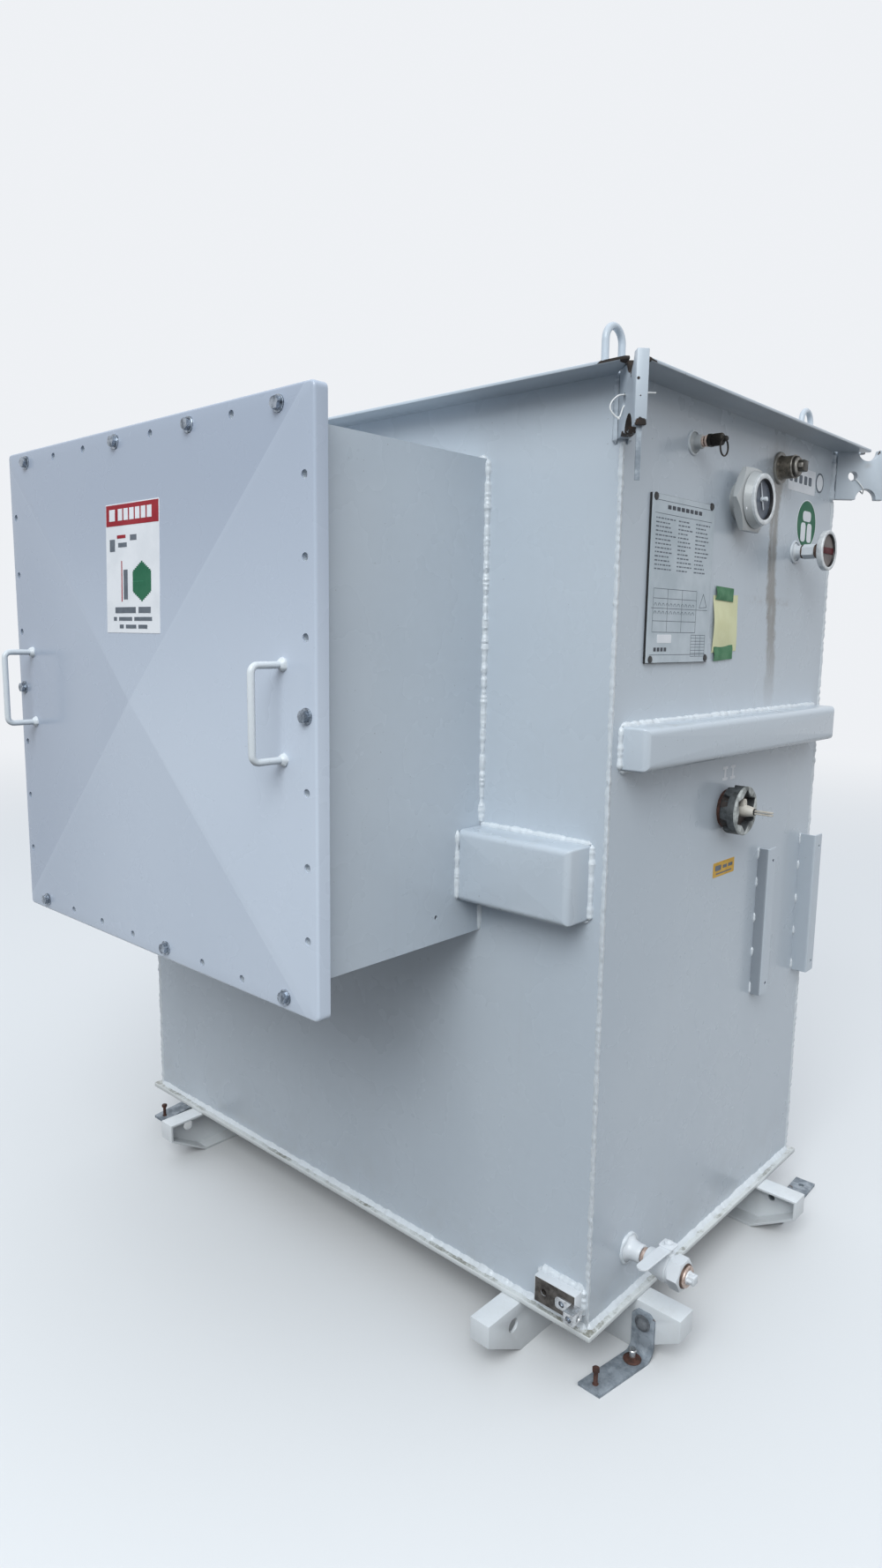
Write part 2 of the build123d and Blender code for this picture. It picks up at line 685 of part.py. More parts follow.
with BuildPart() as switch_handle:
    rod_x(star_floor, hub_end, switch_y, switch_z, hub_r)
    rod_x(hub_end, pin_end, switch_y, switch_z, pin_r)
    block(switch_face + finger_off, switch_face + finger_off + finger_t, switch_y - finger_w / 2,
          switch_y + finger_w / 2, switch_z, switch_z + finger_reach)

# Two drilled angles for a terminal box
box_angle_t = 4
box_angle_low = 612
box_angle_h = 338
box_angle_flange = 40
box_hole_r = 4
box_hole_in_y = 26
box_hole_up = 24
box_hole_down = 29
near_angle = (280, 24.5)
far_angle = (52, 38)
with BuildPart() as box_angles:
    for in_y, depth in (near_angle, far_angle):
        y = back_y - in_y
        out_x = end_x + depth
        high = box_angle_low + box_angle_h
        block(end_x, out_x, y, y + box_angle_t, box_angle_low, high)
        block(out_x - box_angle_t, out_x, y, y + box_angle_flange, box_angle_low, high)
        for z in (box_angle_low + box_hole_up, high - box_hole_down):
            rod_x(out_x - box_angle_t - past, out_x + past, y + box_hole_in_y, z, box_hole_r,
                  mode=Mode.SUBTRACT)

# Nameplate on four spacers
plate_in = 93
plate_w = 226
plate_h = 290
plate_drop = 177
plate_off = 4
plate_t = 1.5
spacer_r = 5
spacer_in_y = 12
spacer_in_z = 8
plate_y = front_y + plate_in
plate_high = wall_top - plate_drop
with BuildPart() as nameplate:
    block(end_x + plate_off, end_x + plate_off + plate_t, plate_y, plate_y + plate_w,
          plate_high - plate_h, plate_high)
    for y in (plate_y + spacer_in_y, plate_y + plate_w - spacer_in_y):
        for z in (plate_high - plate_h + spacer_in_z, plate_high - spacer_in_z):
            rod_x(end_x, end_x + plate_off, y, z, spacer_r)

# Thin strip that hangs under the near lug
strip_t = 3
strip_w = 8
strip_h = 80
strip_in = 9
with BuildPart() as lug_strip:
    with Locations(corners[0]):
        with Locations((lug_out - strip_in, 0, -lug_h - strip_h / 2)):
            Box(strip_t, strip_w, strip_h)

for builder, label in (
    (tank_front_wall, "tank_front_wall"),
    (tank_back_wall, "tank_back_wall"),
    (tank_left_wall, "tank_left_wall"),
    (tank_right_wall, "tank_right_wall"),
    (base_plate, "base_plate"),
    (tank_contents, "tank_contents"),
    (lug_front_right, "lug_front_right"),
    (lug_back_right, "lug_back_right"),
    (lug_back_left, "lug_back_left"),
    (lug_front_left, "lug_front_left"),
    (tank_cover, "tank_cover"),
    (cover_loops, "cover_loops"),
    (chamber_side_walls, "chamber_side_walls"),
    (chamber_top, "chamber_top"),
    (chamber_bottom, "chamber_bottom"),
    (gland_plate, "gland_plate"),
    (chamber_flange_rails, "chamber_flange_rails"),
    (chamber_flange_posts, "chamber_flange_posts"),
    (chamber_cover, "chamber_cover"),
    (cover_handles, "cover_handles"),
    (front_stiffeners, "front_stiffeners"),
    (back_stiffener, "back_stiffener"),
    (end_stiffeners, "end_stiffeners"),
    (cross_skids, "cross_skids"),
    (long_skids, "long_skids"),
    (hold_down_angles, "hold_down_angles"),
    (ground_pad, "ground_pad"),
    (ground_clamp, "ground_clamp"),
    (drain_coupling, "drain_coupling"),
    (drain_valve_body, "drain_valve_body"),
    (drain_plug, "drain_plug"),
    (drain_lever, "drain_lever"),
    (relief_coupling, "relief_coupling"),
    (relief_valve, "relief_valve"),
    (relief_ring, "relief_ring"),
    (thermometer_mount, "thermometer_mount"),
    (thermometer_case, "thermometer_case"),
    (thermometer_bezel, "thermometer_bezel"),
    (thermometer_pointer, "thermometer_pointer"),
    (fill_coupling, "fill_coupling"),
    (fill_plug, "fill_plug"),
    (level_coupling, "level_coupling"),
    (level_head, "level_head"),
    (level_float, "level_float"),
    (switch_flange, "switch_flange"),
    (switch_ring, "switch_ring"),
    (switch_handle, "switch_handle"),
    (box_angles, "box_angles"),
    (nameplate, "nameplate"),
    (lug_strip, "lug_strip"),
):
    save(builder, label)
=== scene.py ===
import json
import math

import bmesh
import bpy
from mathutils import Matrix, Vector, noise


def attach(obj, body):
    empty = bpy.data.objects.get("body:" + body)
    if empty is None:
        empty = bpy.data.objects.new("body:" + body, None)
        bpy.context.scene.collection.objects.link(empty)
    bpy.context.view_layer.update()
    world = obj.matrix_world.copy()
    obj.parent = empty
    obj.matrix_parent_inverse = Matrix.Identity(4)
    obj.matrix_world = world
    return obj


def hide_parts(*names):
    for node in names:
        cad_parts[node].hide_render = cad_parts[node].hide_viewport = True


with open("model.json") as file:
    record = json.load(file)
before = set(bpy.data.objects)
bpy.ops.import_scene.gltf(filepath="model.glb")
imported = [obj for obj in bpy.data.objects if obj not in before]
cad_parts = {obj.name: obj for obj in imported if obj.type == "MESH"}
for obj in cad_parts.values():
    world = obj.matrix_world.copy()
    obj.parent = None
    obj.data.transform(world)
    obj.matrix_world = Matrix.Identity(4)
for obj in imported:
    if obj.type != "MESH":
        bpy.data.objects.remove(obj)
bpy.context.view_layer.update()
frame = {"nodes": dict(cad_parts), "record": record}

# Sizes in millimetres in the tank's own frame: X = 0 and Y = 0 in the middle of the tank, Z = 0 on the ground
END_X = 730
FRONT_Y = -450
BACK_Y = 450
BASE_TOP = 120
WALL_TOP = 1832
COVER_TOP = 1838
TO_ROW = Matrix.Scale(0.001, 4) @ Matrix.Translation((-17, 203.5, 0))

# Cable chamber, and its cover: a sheet with bent edges, cross-broken to a point near its middle
CHAMBER_LEFT = -467
CHAMBER_RIGHT = 445
CHAMBER_LOW = 838
CHAMBER_HIGH = 1727
PANEL_X = -11
PANEL_Z = 1282.5
PANEL_Y = -901
PANEL_HALF_X = 502.5
PANEL_HALF_Z = 492.5
PANEL_T = 3
PANEL_BEND = 5
PANEL_BACK = -875
APEX = (-33, 1278)
RISE = 13
HOLE_PITCH = 120
HOLE_OUT_X = 479
HOLE_OUT_Z = 468.5

# Front and back stiffeners
STIFFENER_Z = 979
STIFFENER_HALF = 69
STIFFENER_DEPTH = 70
STIFFENER_END = 700

# Lifting lugs at the tank's corners
CORNERS = [(1, -1), (1, 1), (-1, 1), (-1, -1)]
LUG_OUT = 115
LUG_T = 19
LUG_LOW = 1728
NOTCH_AT = 72
NOTCH_R = 24
LUG_HOLE_OUT = 38.5
LUG_HOLE_Z = 1780
LUG_HOLE_R = 11

# Middles of the fittings on the right end wall
RELIEF = (END_X, -216, 1757)
THERMO = (END_X, -28, 1674)
FILL = (END_X, 153, 1760)
LEVEL = (END_X, 257, 1597)
SWITCH = (END_X, -4, 1062)
DRAIN = (END_X, -312.7, 220)

X = Vector((1, 0, 0))
Y = Vector((0, 1, 0))
Z = Vector((0, 0, 1))
HALF = math.sqrt(0.5)


def rgb(r, g, b):
    """Display colour, 0 to 255, as linear light."""
    shares = (channel / 255 for channel in (r, g, b))
    return tuple(c / 12.92 if c <= 0.04 else ((c + 0.055) / 1.055) ** 2.4 for c in shares) + (1,)


# Node building
class Nodes:
    """A node tree, cleared, and calls that add linked nodes to it."""

    def __init__(self, tree):
        self.tree = tree
        tree.nodes.clear()

    def feed(self, socket, value):
        if isinstance(value, bpy.types.NodeSocket):
            self.tree.links.new(value, socket)
        else:
            socket.default_value = value

    def add(self, kind, *inputs, **settings):
        """A new node with its settings, its first sockets fed in order."""
        node = self.tree.nodes.new("ShaderNode" + kind)
        for key, value in settings.items():
            setattr(node, key, value)
        for socket, value in zip(node.inputs, inputs):
            self.feed(socket, value)
        return node

    def seen(self):
        """1 for what the camera sees directly, in a mirror or through glass."""
        path = self.add("LightPath").outputs
        share = path["Is Camera Ray"]
        for ray in ("Is Glossy Ray", "Is Transmission Ray"):
            share = self.add("Math", share, path[ray], operation="ADD", use_clamp=True).outputs[0]
        return share

    def blend(self, share, first, second):
        return self.add("MixShader", share, first.outputs[0], second.outputs[0])


class Shade(Nodes):
    """A material; its noises and places are read in metres of the row's frame."""

    def __init__(self, name):
        self.material = bpy.data.materials.new(name)
        self.material.use_nodes = True
        super().__init__(self.material.node_tree)
        self.surface = self.add("BsdfPrincipled")
        self.output = self.add("OutputMaterial", self.surface.outputs[0])
        self.place = self.add("TexCoord").outputs["Object"]

    def set(self, **values):
        for key, value in values.items():
            self.feed(self.surface.inputs[key.replace("_", " ")], value)

    def math(self, kind, a, b=0.0):
        return self.add("Math", a, b, operation=kind).outputs[0]

    def times(self, first, *others):
        for other in others:
            first = self.math("MULTIPLY", first, other)
        return first

    def off(self, value, middle):
        """How far a value lies from another."""
        return self.math("ABSOLUTE", self.math("SUBTRACT", value, middle))

    def noise(self, scale, detail=3.0, rough=0.5, stretch=(1, 1, 1), shift=(0, 0, 0)):
        mapping = self.add("Mapping", self.place, shift, (0, 0, 0), stretch)
        node = self.add("TexNoise", mapping.outputs[0])
        for name, value in (("Scale", scale), ("Detail", detail), ("Roughness", rough)):
            node.inputs[name].default_value = value
        return node.outputs[0]

    def sway(self, gain, *noise, **more):
        """Noise that swings about 0."""
        return self.times(self.math("SUBTRACT", self.noise(*noise, **more), 0.5), gain)

    def span(self, value, low, high, to_low=0.0, to_high=1.0):
        node = self.add("MapRange", value, low, high, to_low, to_high, interpolation_type="SMOOTHSTEP")
        return node.outputs[0]

    def blotch(self, scale, detail, rough, low, high, **more):
        """Patches of noise: 0 where it lies below low, 1 above high."""
        return self.span(self.noise(scale, detail, rough, **more), low, high)

    def mix(self, share, a, b):
        node = self.add("Mix", share, data_type="RGBA")
        self.feed(node.inputs[6], a)
        self.feed(node.inputs[7], b)
        return node.outputs[2]

    def xyz(self):
        return self.add("SeparateXYZ", self.place).outputs

    def facing(self, axis):
        return self.add("SeparateXYZ", self.add("NewGeometry").outputs["Normal"]).outputs[axis]

    def bump(self, height, strength, distance, under=None):
        node = self.add("Bump", strength, distance)
        self.feed(node.inputs["Height"], height)
        if under is not None:
            self.feed(node.inputs["Normal"], under)
        return node.outputs[0]

    def near(self, x, y, z, reach, soft, flat=1.0):
        """1 within reach of a point in mm, 0 past a further soft; flat squeezes the patch in height."""
        offset = self.add("VectorMath", self.place, TO_ROW @ Vector((x, y, z)), operation="SUBTRACT")
        scaled = self.add("VectorMath", offset.outputs[0], (1, 1, flat), operation="MULTIPLY")
        away = self.add("VectorMath", scaled.outputs[0], operation="LENGTH").outputs["Value"]
        return self.span(away, (reach + soft) * 0.001, reach * 0.001)


# Paint
PAINT = rgb(190, 199, 208)
DUST = rgb(152, 147, 136)
RUST = rgb(70, 52, 42)
RUST_DARK = rgb(34, 28, 25)


def weathered(shade, colour, dirt=1.0):
    """A colour with tone changes, streaks, dust low down and on top, painted shade on faces that look down,
    and specks.
    """
    lower = tuple(channel * share for channel, share in zip(colour, (0.93, 0.94, 0.95, 1.0)))
    colour = shade.mix(shade.blotch(1.2, 3, 0.5, 0.38, 0.64), colour, lower)
    streak = shade.noise(1.0, 3, 0.6, stretch=(26, 26, 1.1))
    colour = shade.mix(shade.span(streak, 0.58, 0.82, 0, 0.05 * dirt), colour, DUST)
    up = shade.facing(2)
    low = shade.times(shade.span(shade.xyz()[2], 0.34, 0.10), shade.blotch(9, 5, 0.65, 0.40, 0.80))
    colour = shade.mix(shade.times(low, 0.22 * dirt), colour, DUST)
    top = shade.times(shade.span(up, 0.7, 0.95), shade.blotch(14, 6, 0.7, 0.46, 0.76))
    colour = shade.mix(shade.times(top, 0.30 * dirt), colour, DUST)
    # Painted shade: faces that look down are darkened toward grey, standing in for the shade under things.
    colour = shade.mix(shade.span(up, -0.15, -0.80, 0, 0.30), colour, rgb(104, 108, 110))
    speck = shade.blotch(150, 2, 0.5, 0.745, 0.77)
    return shade.mix(shade.times(speck, 0.45 * dirt), colour, rgb(92, 88, 82))


def painted_bump(shade, fine=0.08, wave=0.12):
    """Orange peel over a slow unevenness of the sheet."""
    peel = shade.bump(shade.noise(620, 2, 0.5), fine, 0.0004)
    return shade.bump(shade.noise(3.4, 2, 0.4), wave, 0.004, peel)


def enamel(shade, colour, rough=0.27, fine=0.08, wave=0.12):
    """Semi-gloss enamel: a soft base under a smoother skin."""
    shade.set(
        Base_Color=colour,
        Roughness=shade.span(shade.noise(9, 3, 0.5), 0.3, 0.7, rough - 0.02, rough + 0.04),
        Coat_Weight=0.25,
        Coat_Roughness=0.14,
        Specular_IOR_Level=0.38,
        Normal=painted_bump(shade, fine, wave),
    )
    return shade.material


def paint(name, dirt=1.0, rough=0.27, fine=0.08, wave=0.12, colour=PAINT):
    shade = Shade(name)
    return enamel(shade, weathered(shade, colour, dirt), rough, fine, wave)


def panel_paint():
    """The chamber cover's paint, with painted light and shade on its four bent faces: each face gets its own
    tone, which changes along it, standing in for the light that face reflects.
    """
    shade = Shade("paint_panel")
    x, _, z = shade.xyz()
    apex = TO_ROW @ Vector((APEX[0], PANEL_Y, APEX[1]))
    across = shade.math("DIVIDE", shade.math("SUBTRACT", x, apex.x), PANEL_HALF_X * 0.001)
    up = shade.math("DIVIDE", shade.math("SUBTRACT", z, apex.z), PANEL_HALF_Z * 0.001)
    steeper = shade.math("SUBTRACT", shade.math("ABSOLUTE", across), shade.math("ABSOLUTE", up))
    sides = shade.span(steeper, -0.006, 0.006)
    ends = shade.math("SUBTRACT", 1.0, sides)
    colour = weathered(shade, rgb(200, 210, 224), 0.35)
    facet_shade = rgb(158, 169, 187)
    # Painted light and shade: each face is mixed toward facet_shade by its own amount, for the light that
    # face reflects.
    for pair, way, sign, along, start, end, least, most in (
        (sides, across, -1, across, -0.2, -0.9, 0.58, 0.84),
        (ends, up, 1, up, 0.0, 0.85, 0.38, 0.88),
        (sides, across, 1, up, -0.35, 0.95, 0.0, 0.68),
        (ends, up, -1, across, 0.1, -0.85, 0.22, 0.60),
    ):
        face = shade.times(pair, shade.span(way, -0.01 * sign, 0.01 * sign))
        colour = shade.mix(shade.times(face, shade.span(along, start, end, least, most)), colour, facet_shade)
    return enamel(shade, colour, 0.26, 0.06, 0.16)


def right_wall_paint():
    """Paint with the dirty run below the fill plug and the smudge that crosses it."""
    shade = Shade("paint_right_wall")
    _, y, z = shade.xyz()
    colour = weathered(shade, PAINT)
    wavering = shade.math("ADD", y, shade.sway(0.075, 7, 5, 0.7))
    off = shade.off(wavering, shade.span(z, 1.737, 1.290, 0.3445, 0.3685))
    run = shade.times(shade.span(off, 0.030, 0.014), shade.span(z, 1.22, 1.46), shade.span(z, 1.76, 1.72),
                      shade.blotch(30, 6, 0.7, 0.18, 0.46, stretch=(1, 1, 0.22)), 0.78)
    colour = shade.mix(run, colour, rgb(116, 110, 101))
    stain = shade.times(shade.near(730, 153, 1755, 26, 58), shade.blotch(16, 5, 0.7, 0.30, 0.60), 0.45)
    colour = shade.mix(stain, colour, rgb(104, 98, 88))
    smudge = shade.times(shade.span(shade.off(z, 1.488), 0.012, 0.003), shade.span(y, 0.22, 0.30),
                         shade.span(y, 0.47, 0.42), shade.blotch(60, 5, 0.7, 0.35, 0.65), 0.35)
    return enamel(shade, shade.mix(smudge, colour, rgb(120, 114, 108)))


# Rust on the lugs and the cover, and painted shade in the near lug's two notches: middle, reach, soft edge,
# flatness; chips: middle, reach, soft edge
RUST_AND_SHADE_SPOTS = (
    (748, -516, 1833, 22, 26, 7.0), (775, -508, 1832, 9, 7, 1.4), (780, -511, 1819, 4, 5, 0.6),
    # The two spots of reach 25.2 cover the near lug's notch faces whole: partly rust, partly painted shade in
    # the notches.
    (797, -484, 1833, 14, 14, 6.0), (811, -531, 1729, 5, 8, 1.0), (780.9, -500.9, 1728, 25.2, 1.6, 1.0),
    (780.9, -500.9, 1838, 25.2, 1.6, 1.0), (754, -474, 1727, 13, 4, 1.6), (797, 505, 1832, 3, 22, 3.0),
    (-797, 505, 1832, 3, 24, 3.0), (-797, -505, 1832, 3, 24, 3.0), (772, 512, 1832, 3, 20, 3.0),
)
CHIPS = (
    (811.6, -526.5, 1792, 1.2, 1.2), (807, -535.5, 1795, 1.6, 1.2), (809.5, -532, 1770, 0.9, 0.8),
    (812, -528, 1757, 1.0, 0.9), (813, -525, 1803, 1.2, 1.0), (780, -513, 1806, 1.4, 1.2),
)


def cover_paint():
    """Paint that has flaked to dark rust round the lugs, most at the near corner; the near lug's notches are
    painted dark whole, partly rust and partly painted shade.
    """
    shade = Shade("paint_cover")
    colour = weathered(shade, PAINT)
    streak = shade.times(shade.near(781, 501, 1803, 3, 13), shade.blotch(40, 4, 0.6, 0.3, 0.6), 0.5)
    colour = shade.mix(streak, colour, rgb(122, 104, 84))
    flake = shade.math("ADD", shade.sway(3.2, 120, 6, 0.8), shade.sway(1.8, 34, 3, 0.6, shift=(3, 1, 0)))
    patches = []
    for x, y, z, reach, soft, flat in RUST_AND_SHADE_SPOTS:
        within = shade.near(x, y, z, reach, soft, flat)
        ragged_edge = shade.span(shade.math("ADD", within, flake), 0.50, 0.58)
        patch = shade.times(ragged_edge, shade.span(within, 0.02, 0.10))
        if flat > 2:
            patch = shade.times(patch, shade.span(shade.facing(2), -0.6, -0.2))
        patches.append(patch)
    patches += [shade.near(*chip) for chip in CHIPS]
    rust = patches[0]
    for patch in patches[1:]:
        rust = shade.math("MAXIMUM", rust, patch)
    scale = shade.mix(shade.blotch(130, 4, 0.6, 0.45, 0.75), RUST_DARK, RUST)
    shade.set(
        Base_Color=shade.mix(rust, colour, scale),
        Roughness=shade.math("ADD", shade.times(rust, 0.5), 0.32),
        Normal=shade.bump(rust, 0.9, 0.0012, painted_bump(shade)),
    )
    return shade.material


def angle_paint():
    """Wall paint, darker on the faces that look along the wall, most on the nearer angle."""
    shade = Shade("paint_angles")
    nearer = shade.span(shade.xyz()[1], 0.50, 0.45, 0.25, 0.8)
    # The mask named grime darkens the faces that look along the wall, more on the nearer angle.
    grime = shade.times(shade.span(shade.math("ABSOLUTE", shade.facing(1)), 0.5, 0.9), nearer)
    colour = shade.mix(grime, weathered(shade, PAINT, 0.6), rgb(118, 124, 132))
    return enamel(shade, colour, 0.3, 0.1)


def base_paint():
    """The base plate's own coat: near white, with grime lying in patches along it."""
    shade = Shade("paint_base")
    grime = shade.times(shade.blotch(7, 6, 0.75, 0.42, 0.62), shade.blotch(70, 5, 0.75, 0.34, 0.58),
                        shade.span(shade.facing(2), 0.6, 0.95), 0.85)
    colour = shade.mix(grime, weathered(shade, rgb(210, 214, 214), 0.6), rgb(104, 103, 90))
    return enamel(shade, colour, 0.36, 0.2)


STEEL_PAINT = paint("paint_tank")
# The welds' paint is a lighter copy of the tank's paint: painted highlight for the light the beads catch.
WELD_HIGHLIGHT_PAINT = paint("paint_weld_painted_highlight", dirt=0.6, rough=0.28, fine=0.4, wave=0.0, colour=rgb(212, 218, 223))
# The skids' whitish paint, made lighter still as painted light where the noses lie in shade.
SKID_PAINT_AND_PAINTED_LIGHT = paint("paint_skids_and_painted_light", dirt=0.7, rough=0.30, fine=0.15, wave=0.1, colour=rgb(222, 226, 229))
FITTING_PAINT = paint("paint_fittings", dirt=0.6, rough=0.30, fine=0.2, wave=0.0, colour=rgb(216, 220, 224))
GAUGE_PAINT = paint("paint_gauge", dirt=0.9, rough=0.34, fine=0.2, wave=0.0, colour=rgb(178, 181, 182))
GRIMY_PAINT = paint("paint_grimy", dirt=2.0, rough=0.36, fine=0.3, wave=0.0, colour=rgb(128, 125, 118))
PANEL_PAINT = panel_paint()
WALL_PAINT = right_wall_paint()
COVER_PAINT = cover_paint()
ANGLE_PAINT = angle_paint()


# Bare metals
def metal(name, colour, dark, rough, scale=60, metallic=1.0, bump=0.15, rust=0.0):
    """Bare or plated metal, mottled between two tones, with rust in patches."""
    shade = Shade(name)
    mottle = shade.blotch(scale, 5, 0.65, 0.35, 0.68)
    tint = shade.mix(mottle, colour, dark)
    if rust:
        patch = shade.blotch(scale * 0.6, 6, 0.7, 0.66 - 0.25 * rust, 0.74 - 0.2 * rust, shift=(5, 2, 1))
        tint = shade.mix(patch, tint, RUST)
        metallic = shade.times(shade.math("SUBTRACT", 1.0, patch), metallic)
    shade.set(
        Base_Color=tint,
        Metallic=metallic,
        Roughness=shade.span(mottle, 0, 1, rough, min(1.0, rough + 0.22)),
        Normal=shade.bump(shade.noise(scale * 6, 4, 0.6), bump, 0.0006),
    )
    return shade.material


GALVANISED = metal("galvanised", rgb(158, 167, 176), rgb(120, 129, 138), 0.45, 45, 0.4, rust=0.10)
ZINC = metal("zinc_bolt", rgb(166, 174, 184), rgb(92, 100, 110), 0.22, 90, 0.9, 0.08)
BRIGHT = metal("bright_steel", rgb(214, 216, 218), rgb(160, 162, 164), 0.24, 120, 0.9, 0.25)
RUSTY = metal("rusty_steel", rgb(82, 54, 44), rgb(46, 34, 30), 0.75, 90, 0.1, 0.7, rust=0.4)
WASHER = metal("rusty_washer", rgb(88, 56, 47), rgb(58, 42, 37), 0.7, 90, 0.1, 0.6, rust=0.2)
OILY = metal("oily_brown", rgb(104, 97, 86), rgb(60, 55, 48), 0.38, 70, 0.35, 0.3)
PLUG_DARK = metal("plug_dark", rgb(70, 67, 62), rgb(40, 38, 36), 0.42, 80, 0.45, 0.3)
GREY_IRON = metal("grey_iron", rgb(150, 146, 140), rgb(104, 100, 94), 0.42, 70, 0.4, 0.25)
PINKISH = metal("pinkish_brass", rgb(206, 186, 176), rgb(160, 138, 126), 0.4, 90, 0.3, 0.2)
BROWN_RING = metal("brown_ring", rgb(96, 76, 66), rgb(54, 44, 40), 0.5, 90, 0.3, 0.3)
BLACKENED = metal("blackened_brass", rgb(40, 36, 30), rgb(20, 18, 16), 0.42, 60, 0.5, 0.25)
PAD_STEEL = metal("bare_pad", rgb(96, 92, 88), rgb(58, 54, 52), 0.5, 50, 0.5, 0.4, rust=0.25)
BEZEL = metal("satin_aluminium", rgb(218, 221, 223), rgb(190, 194, 197), 0.34, 70, 0.15, 0.08)
SWITCH_GREY = metal("switch_grey_black", rgb(84, 88, 90), rgb(44, 47, 48), 0.5, 55, 0.2, 0.4)
DRUM_DARK = metal("switch_drum", rgb(66, 58, 54), rgb(38, 36, 35), 0.5, 55, 0.2, 0.4)
SWITCH_RIM = metal("switch_rim", rgb(188, 192, 190), rgb(92, 95, 94), 0.45, 38, 0.1, 0.3)
PLATE = metal("nameplate_metal", rgb(190, 199, 206), rgb(177, 187, 194), 0.40, 9, 0.2, 0.05)
HEAD_GREY = metal("bolt_head_grey", rgb(112, 116, 121), rgb(84, 88, 93), 0.5, 70, 0.25, 0.3)


# Plastics, papers and inks
def plain(name, colour, dark, rough, scale=40, bump=0.05, shine=0.5):
    """Plastic, paper or enamel: two close tones, uneven gloss and a fine grain."""
    shade = Shade(name)
    mottle = shade.noise(scale, 4, 0.6)
    shade.set(
        Base_Color=shade.mix(shade.span(mottle, 0.4, 0.7, 0, 0.5), colour, dark),
        Roughness=shade.span(mottle, 0.3, 0.7, rough - 0.05, rough + 0.1),
        Normal=shade.bump(shade.noise(scale * 9, 3, 0.5), bump, 0.0004),
        Specular_IOR_Level=shine,
    )
    return shade.material


DIAL = plain("dial_face", rgb(84, 91, 103), rgb(66, 72, 84), 0.4)
MARKS = plain("dial_marks", rgb(206, 212, 218), rgb(180, 188, 196), 0.5)
FAINT = plain("dial_faint", rgb(126, 134, 146), rgb(104, 112, 124), 0.5)
LEVEL_FACE = plain("level_face", rgb(128, 121, 119), rgb(88, 80, 80), 0.6, shine=0.2)
FLOAT_RED = plain("float_red", rgb(78, 10, 20), rgb(50, 8, 14), 0.5, shine=0.2)
CREAM = plain("switch_cream", rgb(198, 194, 185), rgb(160, 152, 140), 0.5, 70, 0.15)
INK = plain("plate_ink", rgb(96, 104, 114), rgb(74, 82, 92), 0.6)
DARK_INK = plain("dark_ink", rgb(62, 66, 74), rgb(48, 52, 60), 0.6)
BLACK = plain("screw_black", rgb(28, 28, 30), rgb(16, 16, 18), 0.35)
WHITE = plain("white_vinyl", rgb(230, 233, 238), rgb(214, 218, 224), 0.35, 18)
RED = plain("red_vinyl", rgb(152, 14, 34), rgb(134, 12, 30), 0.4, 18, shine=0.25)
GREEN = plain("green_vinyl", rgb(20, 98, 68), rgb(16, 84, 58), 0.45, 18, shine=0.25)
YELLOW = plain("yellow_vinyl", rgb(206, 160, 44), rgb(176, 132, 34), 0.45, 30)
NOTE = plain("yellow_paper", rgb(226, 226, 186), rgb(214, 213, 168), 0.75, 24, 0.1)
TAPE = plain("green_tape", rgb(58, 118, 78), rgb(40, 94, 60), 0.5, 50, 0.1)
TIE = plain("white_nylon", rgb(224, 226, 226), rgb(204, 206, 206), 0.3)


# Mesh building, all in millimetres of the tank's frame
def placed(name, data):
    obj = bpy.data.objects.new(name, data)
    bpy.context.scene.collection.objects.link(obj)
    return obj


def piece(name, bm, material, slot="paint", body="tank", sharp=32, stands_for=()):
    bm.transform(TO_ROW)
    bmesh.ops.remove_doubles(bm, verts=bm.verts, dist=1e-6)
    bmesh.ops.recalc_face_normals(bm, faces=bm.faces)
    for face in bm.faces:
        face.smooth = True
    mesh = bpy.data.meshes.new(name)
    bm.to_mesh(mesh)
    bm.free()
    mesh.set_sharp_from_angle(angle=math.radians(sharp))
    mesh.materials.append(material)
    obj = placed(name, mesh)
    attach(obj, body)
    if stands_for:
        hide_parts(*stands_for)
    return obj


def side_axes(axis):
    """Two directions square to an axis, the second as near to up as it can be."""
    axis = axis.normalized()
    second = (Z - axis * axis.dot(Z)) if abs(axis.z) < 0.9 else (Y - axis * axis.dot(Y))
    second.normalize()
    return second.cross(axis), second


def turns(count):
    return [2 * math.pi * i / count for i in range(count)]


def join(bm, front, rear):
    """Faces between two closed rows of corners."""
    for i in range(len(front)):
        j = (i + 1) % len(front)
        bm.faces.new((front[i], front[j], rear[j], rear[i]))


def rings(bm, loops, close=False):
    """Joins loops of equally many points; a loop of one point is a tip."""
    made = [[bm.verts.new(point) for point in loop] for loop in loops]
    pairs = list(zip(made, made[1:])) + ([(made[-1], made[0])] if close else [])
    for low, high in pairs:
        count = max(len(low), len(high))
        for i in range(count):
            j = (i + 1) % count
            if len(low) == 1:
                bm.faces.new((low[0], high[i], high[j]))
            elif len(high) == 1:
                bm.faces.new((low[i], high[0], low[j]))
            else:
                bm.faces.new((low[i], high[i], high[j], low[j]))
    return made


def tipped(loops):
    """Loops closed at both ends by a tip in the middle of the last loop there."""
    first, last = (sum(loop, Vector()) / len(loop) for loop in (loops[0], loops[-1]))
    return [[first]] + loops + [[last]]


def turned(bm, centre, axis, profile, count=40):
    """Turns a profile of (distance along the axis, radius) round the axis."""
    centre = Vector(centre)
    across, over = side_axes(axis)
    loops = []
    for along, radius in profile:
        middle = centre + axis * along
        if radius == 0:
            loops.append([middle])
        else:
            loops.append([middle + (across * math.cos(t) + over * math.sin(t)) * radius
                          for t in turns(count)])
    return rings(bm, loops)


def puck(low, high, radius):
    """The profile of a disc or a pin."""
    return [(low, 0), (low, radius), (high, radius), (high, 0)]


def spun(name, centre, profiles, material, slot="paint", count=40, **more):
    """A piece of profiles turned round an axis along X."""
    bm = bmesh.new()
    for profile in profiles:
        turned(bm, centre, X, profile, count)
    return piece(name, bm, material, slot, **more)


